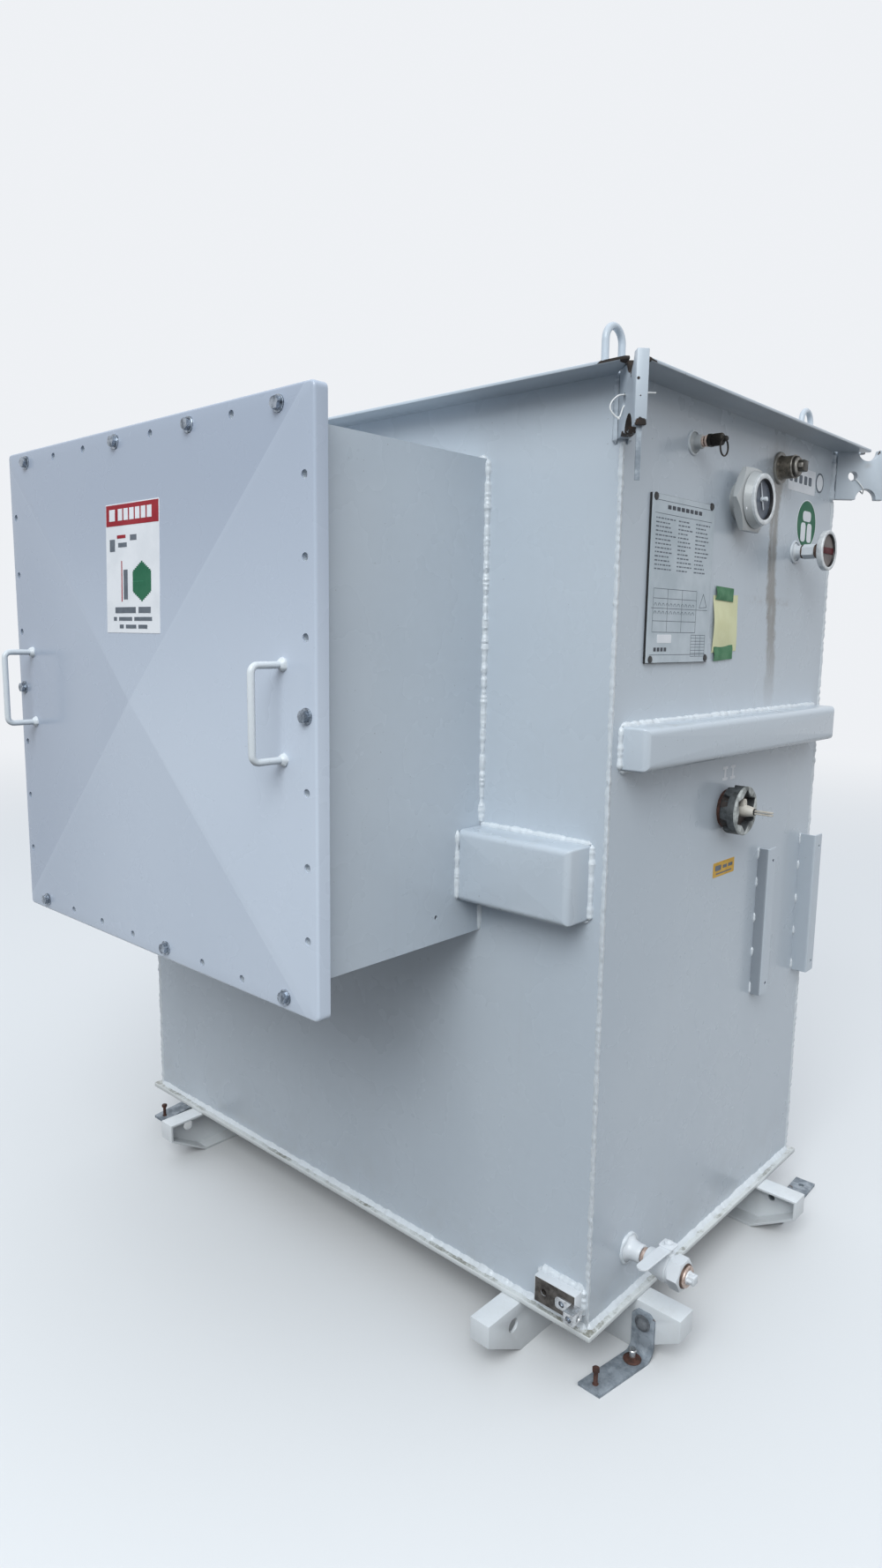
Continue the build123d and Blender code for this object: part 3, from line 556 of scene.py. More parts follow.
def hexagon(bm, centre, axis, across_flats, start, end, turn=0.0, both=False):
    """A hexagonal head or nut, its corners chamfered at the outer end, or at both."""
    centre = Vector(centre)
    across, over = side_axes(axis)
    flat = across_flats / 2
    rim = 0.95 * flat
    angles = [math.radians(turn) + t for t in turns(36)]
    radii = [flat / math.cos((t - math.radians(turn)) % (math.pi / 3) - math.pi / 6) for t in angles]

    def loop(along, fixed=None, drop=0):
        points = []
        for t, r in zip(angles, radii):
            shrink = (r - 0.97 * flat) * 0.5 * drop
            out = (across * math.cos(t) + over * math.sin(t)) * (fixed or r)
            points.append(centre + axis * (along + shrink) + out)
        return points

    foot = [loop(start, rim), loop(start, None, 1)] if both else [loop(start)]
    top = [loop(end, None, -1), loop(end, rim), [centre + axis * end]]
    rings(bm, [[centre + axis * start]] + foot + top)


def slab(bm, outline, depth, bevel=0.0, segments=2):
    """A plate: a flat outline pushed along depth, with its edges eased."""
    low = [bm.verts.new(Vector(point)) for point in outline]
    high = [bm.verts.new(Vector(point) + depth) for point in outline]
    faces = [bm.faces.new(low), bm.faces.new(high)]
    for i in range(len(low)):
        j = (i + 1) % len(low)
        faces.append(bm.faces.new((low[i], low[j], high[j], high[i])))
    bmesh.ops.recalc_face_normals(bm, faces=faces)
    if bevel:
        edges = dict.fromkeys(edge for face in faces for edge in face.edges if edge.calc_face_angle(0) > 0.6)
        bmesh.ops.bevel(bm, geom=list(edges), offset=bevel, segments=segments, affect="EDGES", profile=0.5)


def bar(bm, low, high, bevel=0.0, segments=2):
    x0, y0, z0 = low
    x1, y1, z1 = high
    outline = [(x0, y0, z0), (x1, y0, z0), (x1, y1, z0), (x0, y1, z0)]
    slab(bm, outline, Z * (z1 - z0), bevel, segments)


def rounded(width, height, radius, steps=6):
    """Points (a, b) round a rectangle with rounded corners, centred on 0."""
    points = []
    for corner, (sa, sb) in enumerate(((1, 1), (-1, 1), (-1, -1), (1, -1))):
        for i in range(steps + 1):
            t = math.pi / 2 * (corner + i / steps)
            points.append((sa * (width / 2 - radius) + radius * math.cos(t),
                           sb * (height / 2 - radius) + radius * math.sin(t)))
    return points


def smooth_path(points, steps=8):
    """A smooth line through the points."""
    points = [Vector(point) for point in points]
    ends = [points[0] * 2 - points[1]] + points + [points[-1] * 2 - points[-2]]
    path = []
    for p0, p1, p2, p3 in zip(ends, ends[1:], ends[2:], ends[3:]):
        for i in range(steps):
            t = i / steps
            path.append(0.5 * (2 * p1 + (p2 - p0) * t + (2 * p0 - 5 * p1 + 4 * p2 - p3) * t * t
                               + (3 * p1 - p0 - 3 * p2 + p3) * t ** 3))
    return path + [points[-1]]


def tube(bm, path, radius, count=12, closed=False):
    """A round rod along a path."""
    path = [Vector(point) for point in path]
    loops = []
    across = None
    for i, point in enumerate(path):
        before = path[i - 1] if (i or closed) else point
        after = path[(i + 1) % len(path)] if (i + 1 < len(path) or closed) else point
        along = (after - before).normalized()
        if across is None:
            across = side_axes(along)[0]
        across = (across - along * across.dot(along)).normalized()
        over = along.cross(across)
        loops.append([point + (across * math.cos(t) + over * math.sin(t)) * radius for t in turns(count)])
    if not closed:
        loops = [[path[0]]] + loops + [[path[-1]]]
    rings(bm, loops, closed)


def leaf(bm, point, steps):
    """A thin closed sheet; point gives the place for two shares of its sides, in front or behind."""
    rims = []
    for back in (False, True):
        grid = [[bm.verts.new(point(i / steps, j / steps, back)) for j in range(steps + 1)]
                for i in range(steps + 1)]
        for i in range(steps):
            for j in range(steps):
                bm.faces.new((grid[i][j], grid[i + 1][j], grid[i + 1][j + 1], grid[i][j + 1]))
        there, back_again = range(steps), range(steps, 0, -1)
        rims.append([grid[i][0] for i in there] + [grid[steps][j] for j in there]
                    + [grid[i][steps] for i in back_again] + [grid[0][j] for j in back_again])
    join(bm, *rims)


def cut(obj, holes, overlapping=False):
    """Cuts turned holes, each its centre, axis, profile and count, out of a piece; its bodies may overlap."""
    bm = bmesh.new()
    for hole in holes:
        turned(bm, *hole)
    bm.transform(TO_ROW)
    bmesh.ops.recalc_face_normals(bm, faces=bm.faces)
    mesh = bpy.data.meshes.new("cutter")
    bm.to_mesh(mesh)
    bm.free()
    cutter = placed("cutter", mesh)
    change = obj.modifiers.new("cut", "BOOLEAN")
    change.object = cutter
    change.operation = "DIFFERENCE"
    change.solver = "EXACT"
    change.use_self = overlapping
    bpy.context.view_layer.update()
    done = bpy.data.meshes.new_from_object(obj.evaluated_get(bpy.context.evaluated_depsgraph_get()))
    obj.modifiers.clear()
    old = obj.data
    obj.data = done
    done.name = old.name + "_cut"
    bpy.data.meshes.remove(old)
    bpy.data.objects.remove(cutter)
    for polygon in done.polygons:
        polygon.use_smooth = True
    done.set_sharp_from_angle(angle=math.radians(32))


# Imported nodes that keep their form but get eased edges
def eased(node, name, offset, material, slot="paint", segments=2):
    source = frame["nodes"][node]
    bm = bmesh.new()
    bm.from_mesh(source.data)
    bm.transform(TO_ROW.inverted() @ source.matrix_world)
    bmesh.ops.remove_doubles(bm, verts=bm.verts, dist=0.01)
    bmesh.ops.dissolve_limit(bm, angle_limit=math.radians(1), verts=bm.verts, edges=bm.edges)
    sharp = [edge for edge in bm.edges
             if edge.is_manifold and edge.is_convex and edge.calc_face_angle(0) > math.radians(35)]
    bmesh.ops.bevel(bm, geom=sharp, offset=offset, segments=segments, affect="EDGES", profile=0.5,
                    clamp_overlap=True)
    return piece(name, bm, material, slot, stands_for=[node])


# Weld beads
def ragged(point, scale, seed=0.0):
    return noise.noise(Vector(point) * scale + Vector((seed, seed * 1.7, -seed)))


def weld_line(start, end, pitch, seed):
    """Points along a weld, with the distance from the nearer end and the ripple there, 0 to 1."""
    start, end = Vector(start), Vector(end)
    length = (end - start).length
    count = max(3, int(length / 2.6))
    for i in range(count + 1):
        along = i / count
        point = start.lerp(end, along)
        ripple = abs(math.sin(math.pi * along * length / pitch + 1.4 * ragged(point, 0.05, seed + 9)))
        yield point, min(along, 1 - along) * length, ripple


def bead(bm, start, end, u, v, leg=7.0, bulge=3.0, seed=0.0, pitch=6.0):
    """A weld bead from start to end, between the two surfaces that leave its line along u and v."""
    out = (u + v).normalized()
    loops = []
    for point, far, ripple in weld_line(start, end, pitch, seed):
        ends = min(1.0, 0.35 + far / 9)
        uneven = 1 + 0.38 * ragged(point, 0.055, seed) + 0.22 * ragged(point, 0.19, seed + 4)
        size = leg * ends * uneven
        rise = bulge * ends * (0.72 + 0.28 * ripple) * (1 + 0.6 * ragged(point, 0.09, seed + 2))
        loop = []
        for share in (i / 6 for i in range(7)):
            lift = out * (rise * math.sin(math.pi * share))
            loop.append(point + u * (size * (1 - share)) + v * (size * share) + lift)
        loops.append(loop + [point - out * 1.5])
    rings(bm, tipped(loops))


def seam_bead(bm, start, end, u, v, leg, bulge, seed, pitch):
    """A weld bead over an outward corner, on the two walls that leave its line along u and v."""
    out = -(u + v).normalized()
    loops = []
    for point, _, ripple in weld_line(start, end, pitch, seed):
        left, right = (leg * (1 + 0.45 * ragged(point, 0.06, at) + 0.25 * ragged(point, 0.21, at + 4))
                       for at in (seed, seed + 20))
        rise = bulge * (0.7 + 0.3 * ripple) * (1 + 0.7 * ragged(point, 0.09, seed + 2))
        loop = [point + u * left - out * 1.5]
        for share in (i / 8 for i in range(1, 8)):
            on_wall = u * left * max(0.0, 1 - 2 * share) + v * right * max(0.0, 2 * share - 1)
            loop.append(point + on_wall + out * (rise * math.sin(math.pi * share)))
        loops.append(loop + [point + v * right - out * 1.5, point - out * leg])
    rings(bm, tipped(loops))


def ring_bead(bm, centre, axis, radius, leg=6.0, bulge=2.5, seed=0.0):
    """A fillet weld round a boss that stands on a wall."""
    across, over = side_axes(axis)
    loops = []
    for t in turns(max(24, int(2 * math.pi * radius / 3))):
        out = across * math.cos(t) + over * math.sin(t)
        foot = Vector(centre) + out * radius
        size = leg * (1 + 0.35 * ragged(foot, 0.09, seed))
        rise = bulge * (1 + 0.5 * ragged(foot, 0.16, seed + 3))
        peak = (out + axis).normalized()
        loops.append([
            foot + out * size * (1 - s) + axis * size * s + peak * rise * math.sin(math.pi * s)
            for s in (0, 0.2, 0.4, 0.6, 0.8, 1)
        ] + [foot - peak * 1.5])
    rings(bm, loops, close=True)


# Cable chamber cover
def panel_holes():
    """Middles of the holes round the cover, each with its side and its number there."""
    holes = []
    for row, sign in (("bottom", -1), ("top", 1)):
        holes += [(PANEL_X + HOLE_PITCH * (i - 3.5), PANEL_Z + sign * HOLE_OUT_Z, row, i) for i in range(8)]
    for column, sign in (("left", -1), ("right", 1)):
        holes += [(PANEL_X + sign * HOLE_OUT_X, PANEL_Z + HOLE_PITCH * (i - 3), column, i) for i in range(7)]
    return holes


BOLTED = {("top", 0), ("top", 3), ("top", 5), ("top", 7), ("bottom", 0), ("bottom", 4), ("bottom", 7),
          ("left", 3), ("right", 3)}


def panel_outline(inset):
    """Points round the sheet, close together near the corners."""
    corners = rounded(2 * (PANEL_HALF_X - inset), 2 * (PANEL_HALF_Z - inset), max(10 - inset, 1), 5)
    points = []
    for i, (a, b) in enumerate(corners):
        points.append((PANEL_X + a, PANEL_Z + b))
        if i % 6 < 5:
            continue
        far_a, far_b = corners[(i + 1) % len(corners)]
        for k in range(1, 22):
            share = 0.5 - 0.5 * math.cos(math.pi * k / 22)
            points.append((PANEL_X + a + (far_a - a) * share, PANEL_Z + b + (far_b - b) * share))
    return points


def chamber_cover_sheet():
    bm = bmesh.new()
    rims = []
    for thick in (0, PANEL_T):
        edge = PANEL_BEND - thick
        loops = [[Vector((x, PANEL_BACK, z)) for x, z in panel_outline(thick)]]
        for i in range(6):
            t = math.pi / 2 * i / 5
            loops.append([Vector((x, PANEL_Y + PANEL_BEND - edge * math.sin(t), z))
                          for x, z in panel_outline(thick + edge * (1 - math.cos(t)))])
        for share in (0.96, 0.85, 0.7, 0.55, 0.4, 0.25, 0.12, 0.04):
            loops.append([Vector((APEX[0] + (x - APEX[0]) * share, PANEL_Y + thick - RISE * (1 - share),
                                  APEX[1] + (z - APEX[1]) * share)) for x, z in panel_outline(PANEL_BEND)])
        loops.append([Vector((APEX[0], PANEL_Y + thick - RISE, APEX[1]))])
        rims.append(rings(bm, loops)[0])
    join(bm, *rims)
    sheet = piece("chamber_cover_sheet", bm, PANEL_PAINT, stands_for=["chamber_cover"])
    through = puck(0, RISE + 12, 7)
    cut(sheet, [((x, PANEL_Y - RISE - 4, z), Y, through, 20) for x, z, *_ in panel_holes()])


def chamber_cover_bolts():
    """A washer and a hexagonal head in each hole that has its bolt."""
    bm = bmesh.new()
    washer = [(-0.5, 0), (-0.5, 13.5), (2.0, 13.5), (2.5, 12.9), (2.5, 0)]
    for x, z, side, i in panel_holes():
        if (side, i) in BOLTED:
            foot = Vector((x, PANEL_Y - 0.4, z))
            turned(bm, foot, -Y, washer, 28)
            hexagon(bm, foot, -Y, 18, 2.5, 10.5, 17 * i + 9)
    piece("chamber_cover_bolts", bm, ZINC, "galvanised")


def cover_handles():
    """Bent rods with lumpy welds at their feet."""
    bm = bmesh.new()
    low, high = 1210, 1360
    foot_y = PANEL_Y - 2
    grip_y = -964
    bend = 12
    for x in (-440.5, 413.5):
        path = [(x, foot_y, low)]
        for centre_z, first in ((low + bend, 270), (high - bend, 180)):
            for i in range(7):
                t = math.radians(first - 15 * i)
                path.append((x, grip_y + bend + bend * math.cos(t), centre_z + bend * math.sin(t)))
        tube(bm, path + [(x, foot_y, high)], 6, 14)
        for z in (low, high):
            lumps = []
            for along, radius in ((2, 9), (-1, 11.5), (-4, 11), (-7.5, 9), (-10, 6.3), (-10, 5)):
                loop = []
                for t in turns(20):
                    point = Vector((x + radius * math.cos(t), PANEL_Y + along, z + radius * math.sin(t)))
                    out = point - Vector((x, point.y, z))
                    loop.append(point + out * 0.22 * ragged(point, 0.16, 3))
                lumps.append(loop)
            rings(bm, lumps)
    piece("cover_handle_rods", bm, WELD_HIGHLIGHT_PAINT, stands_for=["cover_handles"])


# Formed stiffeners: foot's middle, way out, way along, half length, half height, depth, edge, weld's seed
FRONT_PANS = [(((x0 + x1) / 2, FRONT_Y, STIFFENER_Z), -Y, X, (x1 - x0) / 2, STIFFENER_HALF,
               STIFFENER_DEPTH, 12, x0 * 0.01)
              for x0, x1 in ((CHAMBER_RIGHT, STIFFENER_END), (-STIFFENER_END, CHAMBER_LEFT))]
BACK_PANS = [((0, BACK_Y, STIFFENER_Z), Y, X, STIFFENER_END, STIFFENER_HALF, STIFFENER_DEPTH, 12, 8)]
END_PANS = [((side * END_X, 0, 1218.5), X * side, Y, 420, 38.5, 55, 13, 11 + side) for side in (-1, 1)]


def pan(bm, centre, out, along, half_len, half_height, depth, edge):
    """A rounded pan that stands on a wall."""
    corner = 5
    centre = Vector(centre)

    def loop(level, inset):
        outline = rounded(2 * (half_len - inset), 2 * (half_height - inset), max(corner - inset, 2))
        return [centre + out * level + along * a + Z * b for a, b in outline]

    loops = [loop(-1, 0), loop(depth - edge, 0)]
    for i in range(1, 6):
        t = math.pi / 2 * i / 5
        loops.append(loop(depth - edge + edge * math.sin(t), edge * (1 - math.cos(t))))
    rings(bm, loops + [[centre + out * depth]])


def stiffeners():
    for name, node, pans in (("front_stiffener_pans", "front_stiffeners", FRONT_PANS),
                             ("back_stiffener_pan", "back_stiffener", BACK_PANS),
                             ("end_stiffener_pans", "end_stiffeners", END_PANS)):
        bm = bmesh.new()
        for *sizes, _ in pans:
            pan(bm, *sizes)
        piece(name, bm, STEEL_PAINT, stands_for=[node])


def stiffener_welds():
    """Welds round each pan's foot, and up the front pans' ends beside the chamber."""
    bm = bmesh.new()
    for centre, out, along, half_len, half_height, _, _, seed in FRONT_PANS + BACK_PANS + END_PANS:
        for side in (-1, 1):
            end = Vector(centre) + along * side * half_len
            bead(bm, end - Z * half_height, end + Z * half_height, along * side, out, 7, 3, seed + side)
            line = Vector(centre) + Z * side * half_height
            bead(bm, line - along * half_len, line + along * half_len, Z * side, out, 7, 3, seed + 5 * side)
    face_y = FRONT_Y - STIFFENER_DEPTH + 2
    low, high = STIFFENER_Z - STIFFENER_HALF + 2, STIFFENER_Z + STIFFENER_HALF - 2
    for side, x in ((1, CHAMBER_RIGHT), (-1, CHAMBER_LEFT)):
        bead(bm, (x, face_y, low), (x, face_y, high), X * side, -Y, 6, 3, 21 + side)
    piece("stiffener_welds", bm, WELD_HIGHLIGHT_PAINT)


# Welds of the walls, the chamber and the base plate
def seam_welds():
    bm = bmesh.new()
    for index, (sx, sy) in enumerate(CORNERS):
        x, y = sx * END_X, sy * BACK_Y
        seam_bead(bm, (x, y, BASE_TOP), (x, y, LUG_LOW - 4), X * -sx, Y * -sy, 7.5, 3.4, 3.0 * index, 15)
    piece("corner_welds", bm, WELD_HIGHLIGHT_PAINT)


def chamber_welds():
    """Beads round the chamber's foot, broken where the stiffeners cross it."""
    below, above = STIFFENER_Z - STIFFENER_HALF - 2, STIFFENER_Z + STIFFENER_HALF + 2
    bm = bmesh.new()
    for x, out, seed in ((CHAMBER_RIGHT, X, 31), (CHAMBER_LEFT, -X, 33)):
        bead(bm, (x, FRONT_Y, above), (x, FRONT_Y, CHAMBER_HIGH), out, -Y, 7.5, 4, seed, 8)
        bead(bm, (x, FRONT_Y, CHAMBER_LOW), (x, FRONT_Y, below), out, -Y, 6, 2.5, seed + 1)
    for z, out, leg, bulge, seed in ((CHAMBER_HIGH, Z, 7, 3, 35), (CHAMBER_LOW, -Z, 5, 2, 36)):
        bead(bm, (CHAMBER_LEFT, FRONT_Y, z), (CHAMBER_RIGHT, FRONT_Y, z), out, -Y, leg, bulge, seed)
    piece("chamber_welds", bm, WELD_HIGHLIGHT_PAINT)


def base_welds():
    """The fillet between the walls and the base plate."""
    bm = bmesh.new()
    for side in (-1, 1):
        x, y = side * END_X, side * BACK_Y
        bead(bm, (-END_X, y, BASE_TOP), (END_X, y, BASE_TOP), Y * side, Z, 8, 1.2, 41 + side, 11)
        bead(bm, (x, FRONT_Y, BASE_TOP), (x, BACK_Y, BASE_TOP), X * side, Z, 8, 1.2, 45 + side, 11)
    piece("base_welds", bm, WELD_HIGHLIGHT_PAINT)


# Lifting lugs
def lug_frame(sx, sy):
    """A tank corner, the way out along its lug, and the way across it."""
    out = Vector((sx * HALF, sy * HALF, 0))
    return Vector((sx * END_X, sy * BACK_Y, 0)), out, out.cross(Z)


def lug_hole(sx, sy):
    corner, out, side = lug_frame(sx, sy)
    return corner + out * LUG_HOLE_OUT + Z * LUG_HOLE_Z, side


def lugs():
    """Plates with a round notch in the foot and another in the top."""
    bm = bmesh.new()
    arc = [(NOTCH_R * math.cos(math.pi * i / 14), NOTCH_R * math.sin(math.pi * i / 14)) for i in range(15)]
    flat = [(0, LUG_LOW)] + [(NOTCH_AT - a, LUG_LOW + b) for a, b in arc]
    flat += [(LUG_OUT, LUG_LOW), (LUG_OUT, COVER_TOP)]
    flat += [(NOTCH_AT + a, COVER_TOP - b) for a, b in arc] + [(0, COVER_TOP)]
    for sx, sy in CORNERS:
        corner, out, side = lug_frame(sx, sy)
        slab(bm, [corner + out * k + Z * z - side * LUG_T / 2 for k, z in flat], side * LUG_T, 1.5)
    made = piece("lifting_lug_plates", bm, COVER_PAINT,
                 stands_for=["lug_front_right", "lug_back_right", "lug_back_left", "lug_front_left"])
    holes = [lug_hole(sx, sy) for sx, sy in CORNERS]
    cut(made, [(hole - side * 30, side, puck(0, 60, LUG_HOLE_R), 28) for hole, side in holes])


def lug_welds():
    root = LUG_T / 2 / HALF
    bm = bmesh.new()
    for index, (sx, sy) in enumerate(CORNERS):
        corner, out, side = lug_frame(sx, sy)
        for wall, seed in ((X * -sx, 51), (Y * -sy, 52)):
            foot = corner + wall * root
            low, high = foot + Z * (LUG_LOW - 6), foot + Z * (WALL_TOP - 1)
            bead(bm, low, high, wall, out, 8, 4, seed + index * 3, 8)
        for turn in (-1, 1):
            edge = corner + side * turn * LUG_T / 2 + Z * COVER_TOP
            bead(bm, edge - out * 4, edge + out * 44, side * turn, Z * 0.12, 6, 1.0, 70 + index + turn)
    piece("lug_welds", bm, COVER_PAINT)


def cover_loop_welds():
    bm = bmesh.new()
    for sx in (-1, 1):
        for sy in (-1, 1):
            for side in (-1, 1):
                foot = (sx * 674, sy * 402 + side * 25, COVER_TOP)
                ring_bead(bm, foot, Z, 6.3, 5, 2, 80 + sx + sy + side)
    piece("cover_loop_welds", bm, WELD_HIGHLIGHT_PAINT)


def lug_tie():
    """The nylon ties left in the near lug's hole and round the web of the far one."""
    hole, side = lug_hole(1, -1)
    bm = bmesh.new()
    loop = ((-6, 8), (4, 8.5), (12, 8), (20, 6), (29, -3), (31, -13), (25, -22), (17, -27.5), (14, -22),
            (11, -12), (8, -8.5), (2, -9.5))
    stub = ((-6, 8), (-16, 11), (-27, 12), (-41, 12))
    tube(bm, smooth_path([hole + side * s + Z * z for s, z in loop], 6), 1.35, 8)
    knot = [(-2, 0), (-2, 2.2), (0, 2.6), (2.5, 2.0), (2.5, 0)]
    turned(bm, hole + side * 17 - Z * 27, -Z, knot, 12)
    tube(bm, smooth_path([hole + side * s + Z * z for s, z in stub], 5), 1.35, 8)
    hole, side = lug_hole(1, 1)
    out = Vector((HALF, HALF, 0))
    face = LUG_T / 2 + 1.3
    web = ((7, -8, 0), (8, -8.5, face), (24, -26, face), (29, -36, 2), (29, -36, -2), (24, -26, -face),
           (8, -8.5, -face), (7, -8, 0))
    tube(bm, smooth_path([hole + out * k + Z * z + side * s for k, z, s in web], 5)[:-1], 1.3, 8, True)
    piece("lug_ties", bm, TIE)


# Fittings on the right end wall
def knurled(bm, centre, axis, radius, start, end, teeth=30, deep=0.9):
    centre = Vector(centre)
    across, over = side_axes(axis)
    loops = [[centre + axis * start]]
    for along, drop in ((start, 1.6), (start + 1.5, 0), (end - 1.5, 0), (end, 1.6)):
        loop = []
        for i, t in enumerate(turns(teeth * 4)):
            r = radius - drop - (deep if i % 4 > 1 else 0)
            loop.append(centre + axis * along + (across * math.cos(t) + over * math.sin(t)) * r)
        loops.append(loop)
    rings(bm, loops + [[centre + axis * end]])


def threaded(bm, centre, axis, radius, start, end, pitch=2.3, deep=0.9):
    count = max(2, round((end - start) / pitch))
    profile = [(start, 0)]
    for i in range(count):
        profile += [(start + (end - start) * i / count, radius - deep),
                    (start + (end - start) * (i + 0.5) / count, radius)]
    turned(bm, centre, axis, profile + [(end, radius - deep), (end, 0)], 32)


def flared(bm, centre, out_r, barrel_r, flare, end):
    """A weld coupling: a bell foot on the wall, then a barrel."""
    profile = [(-1, 0), (-1, out_r + 1.5), (0.6, out_r + 1)]
    for i in range(1, 7):
        t = i / 6
        profile.append((0.6 + flare * t, barrel_r + (out_r - barrel_r) * (1 - t) ** 2.2))
    profile += [(end - 1.5, barrel_r), (end - 0.4, barrel_r - 0.5), (end, barrel_r - 1.6), (end, 0)]
    turned(bm, centre, X, profile, 44)


def square_head(bm, centre, half, start, end, bevel):
    x, y, z = centre
    bar(bm, (x + start, y - half, z - half), (x + end, y + half, z + half), bevel)


def relief_valve():
    bm = bmesh.new()
    flared(bm, RELIEF, 19, 12.5, 7, 19)
    piece("relief_boss", bm, GAUGE_PAINT, stands_for=["relief_coupling"])
    washers = [[(18, 0), (18, 9), (21.5, 9.6), (22.5, 9), (22.5, 0)],
               [(25.5, 0), (25.5, 9.8), (26.5, 10.4), (28, 10.4), (29, 9.6), (29, 0)]]
    spun("relief_rings", RELIEF, washers, PINKISH, "dark_brass", 28)
    bm = bmesh.new()
    threaded(bm, RELIEF, X, 8.6, 18, 31)
    piece("relief_thread", bm, BROWN_RING, "dark_brass")
    bm = bmesh.new()
    hexagon(bm, RELIEF, X, 21, 30, 38, both=True)
    knurled(bm, RELIEF, X, 10.8, 38, 57)
    turned(bm, RELIEF, X, [(56, 0), (56, 8), (58, 7), (59, 5), (64, 4.8), (66, 3.2), (66, 0)], 24)
    pin = Vector(RELIEF) + X * 60
    tube(bm, [pin + X * (3.6 * math.cos(t)) + Z * (3.6 * math.sin(t)) for t in turns(20)], 1.9, 8, True)
    piece("relief_body", bm, BLACKENED, "dark_brass", stands_for=["relief_valve"])
    bm = bmesh.new()
    middle = pin - Z * 14.5
    path = [middle + Vector((0, math.cos(t), math.sin(t))) * 14.5 for t in turns(48)]
    tube(bm, path, 1.6, 10, True)
    piece("relief_pull_ring", bm, BLACKENED, "dark_steel", "relief_ring", stands_for=["relief_ring"])


def dial_line(bm, centre, start, end, width):
    """A thin raised stroke on a face that looks along +X."""
    side = X.cross((end - start).normalized()) * width / 2
    corners = (start - side, end - side, end + side, start + side)
    slab(bm, [centre + corner for corner in corners], X * 0.25)


def dial_way(angle):
    """The way that an angle clockwise from up points on a dial."""
    return Y * math.sin(angle) + Z * math.cos(angle)


def thermometer():
    bm = bmesh.new()
    turned(bm, THERMO, X, puck(-1, 18.5, 36), 56)
    hexagon(bm, THERMO, X, 118, 18, 35, both=True)
    piece("thermometer_plate", bm, GAUGE_PAINT, stands_for=["thermometer_mount"])
    case = [(34, 0), (34, 51), (36.4, 51), (36.6, 53.6), (37.6, 54), (48.6, 49), (50.5, 48), (50.5, 38.6),
            (47.6, 38.6), (47.6, 0)]
    spun("thermometer_body", THERMO, [case], GAUGE_PAINT, "paint", 72, stands_for=["thermometer_case"])
    bm = bmesh.new()
    screw = (END_X + 39, THERMO[1] - 44, THERMO[2] - 19)
    turned(bm, screw, X - Y * 0.4 - Z * 0.2, [(0, 0), (0, 4.6), (3.5, 4.2), (4.5, 3), (4.5, 0)], 16)
    piece("thermometer_screw", bm, BRIGHT)
    rim = [(50.2, 38.2), (50.2, 48), (54.6, 48), (55.6, 47.2), (56, 45.6), (56, 40.6), (55.4, 39),
           (54.6, 38.2), (50.2, 38.2)]
    spun("thermometer_rim", THERMO, [rim], BEZEL, "bezel", 72, stands_for=["thermometer_bezel"])
    well = [(47.8, 36.9), (47.8, 38.5), (54.9, 38.5), (54.9, 37.6), (49.5, 36.9), (47.8, 36.9)]
    spun("thermometer_well", THERMO, [well], BLACK, "dial", 64)
    spun("thermometer_face", THERMO, [puck(47.6, 48.3, 37)], DIAL, "dial", 48)
    thermometer_dial()


def thermometer_dial():
    """The scale's ticks, and the pointer with its hub."""
    centre = Vector(THERMO)
    bm = bmesh.new()
    for i in range(25):
        out = dial_way(math.radians(-132 + 264 * i / 24))
        long, width = (6, 0.9) if i % 4 == 0 else (3.5, 0.5)
        dial_line(bm, centre + X * 48.3, out * 34.5, out * (34.5 - long), width)
    piece("thermometer_marks", bm, FAINT, "pointer")
    bm = bmesh.new()
    turned(bm, THERMO, X, [(48, 0), (48, 5.4), (50.6, 5.2), (51, 4.4), (51, 2), (54, 2), (54, 4.6), (59, 4.6),
                           (60, 3.4), (60, 0)], 24)
    out = dial_way(math.atan2(-10, 30))
    across = X.cross(out)
    half = ((-20, 1.5), (-6, 2.2), (31.5, 0.9))
    flat = [out * along + across * wide for along, wide in half]
    flat += [out * along - across * wide for along, wide in reversed(half)]
    slab(bm, [centre + X * 49.6 + point for point in flat], X * 1.1)
    piece("thermometer_hand", bm, MARKS, "pointer", stands_for=["thermometer_pointer"])


def fill_plug():
    flange = [(-1, 0), (-1, 32.4), (1.5, 32.6), (4.2, 31.6), (5, 30.6), (4.4, 25), (4.4, 0)]
    spun("fill_flange", FILL, [flange], GRIMY_PAINT, "dark_steel", 56)
    boss = [(3.5, 0), (3.5, 26), (6, 24), (9, 22.6), (31.5, 22.5), (33.4, 21.6), (34, 20.6), (34, 0)]
    spun("fill_boss", FILL, [boss], OILY, "dark_steel", 48, stands_for=["fill_coupling"])
    lip = [(31.8, 21.8), (31.8, 23.4), (33, 24), (34.2, 23.4), (34.2, 21.4), (31.8, 21.8)]
    spun("fill_lip", FILL, [lip], GREY_IRON, "dark_steel", 48)
    bm = bmesh.new()
    turned(bm, FILL, X, puck(33.6, 38.6, 20.8), 40)
    square_head(bm, FILL, 11, 42, 56, 2)
    piece("fill_plug_head", bm, PLUG_DARK, "dark_steel", stands_for=["fill_plug"])
    bm = bmesh.new()
    turned(bm, FILL, X, [(38.2, 0), (38.2, 17.6), (39, 18.6), (42, 17.6), (43, 16), (43, 0)], 36)
    x, y, z = FILL
    for side in (-1, 1):
        ear = y + side * 12.4
        bar(bm, (x + 45, ear - 2.2, z - 4.5), (x + 54, ear + 2.2, z + 4.5), 1.2)
    piece("fill_plug_collar", bm, GREY_IRON, "dark_steel")


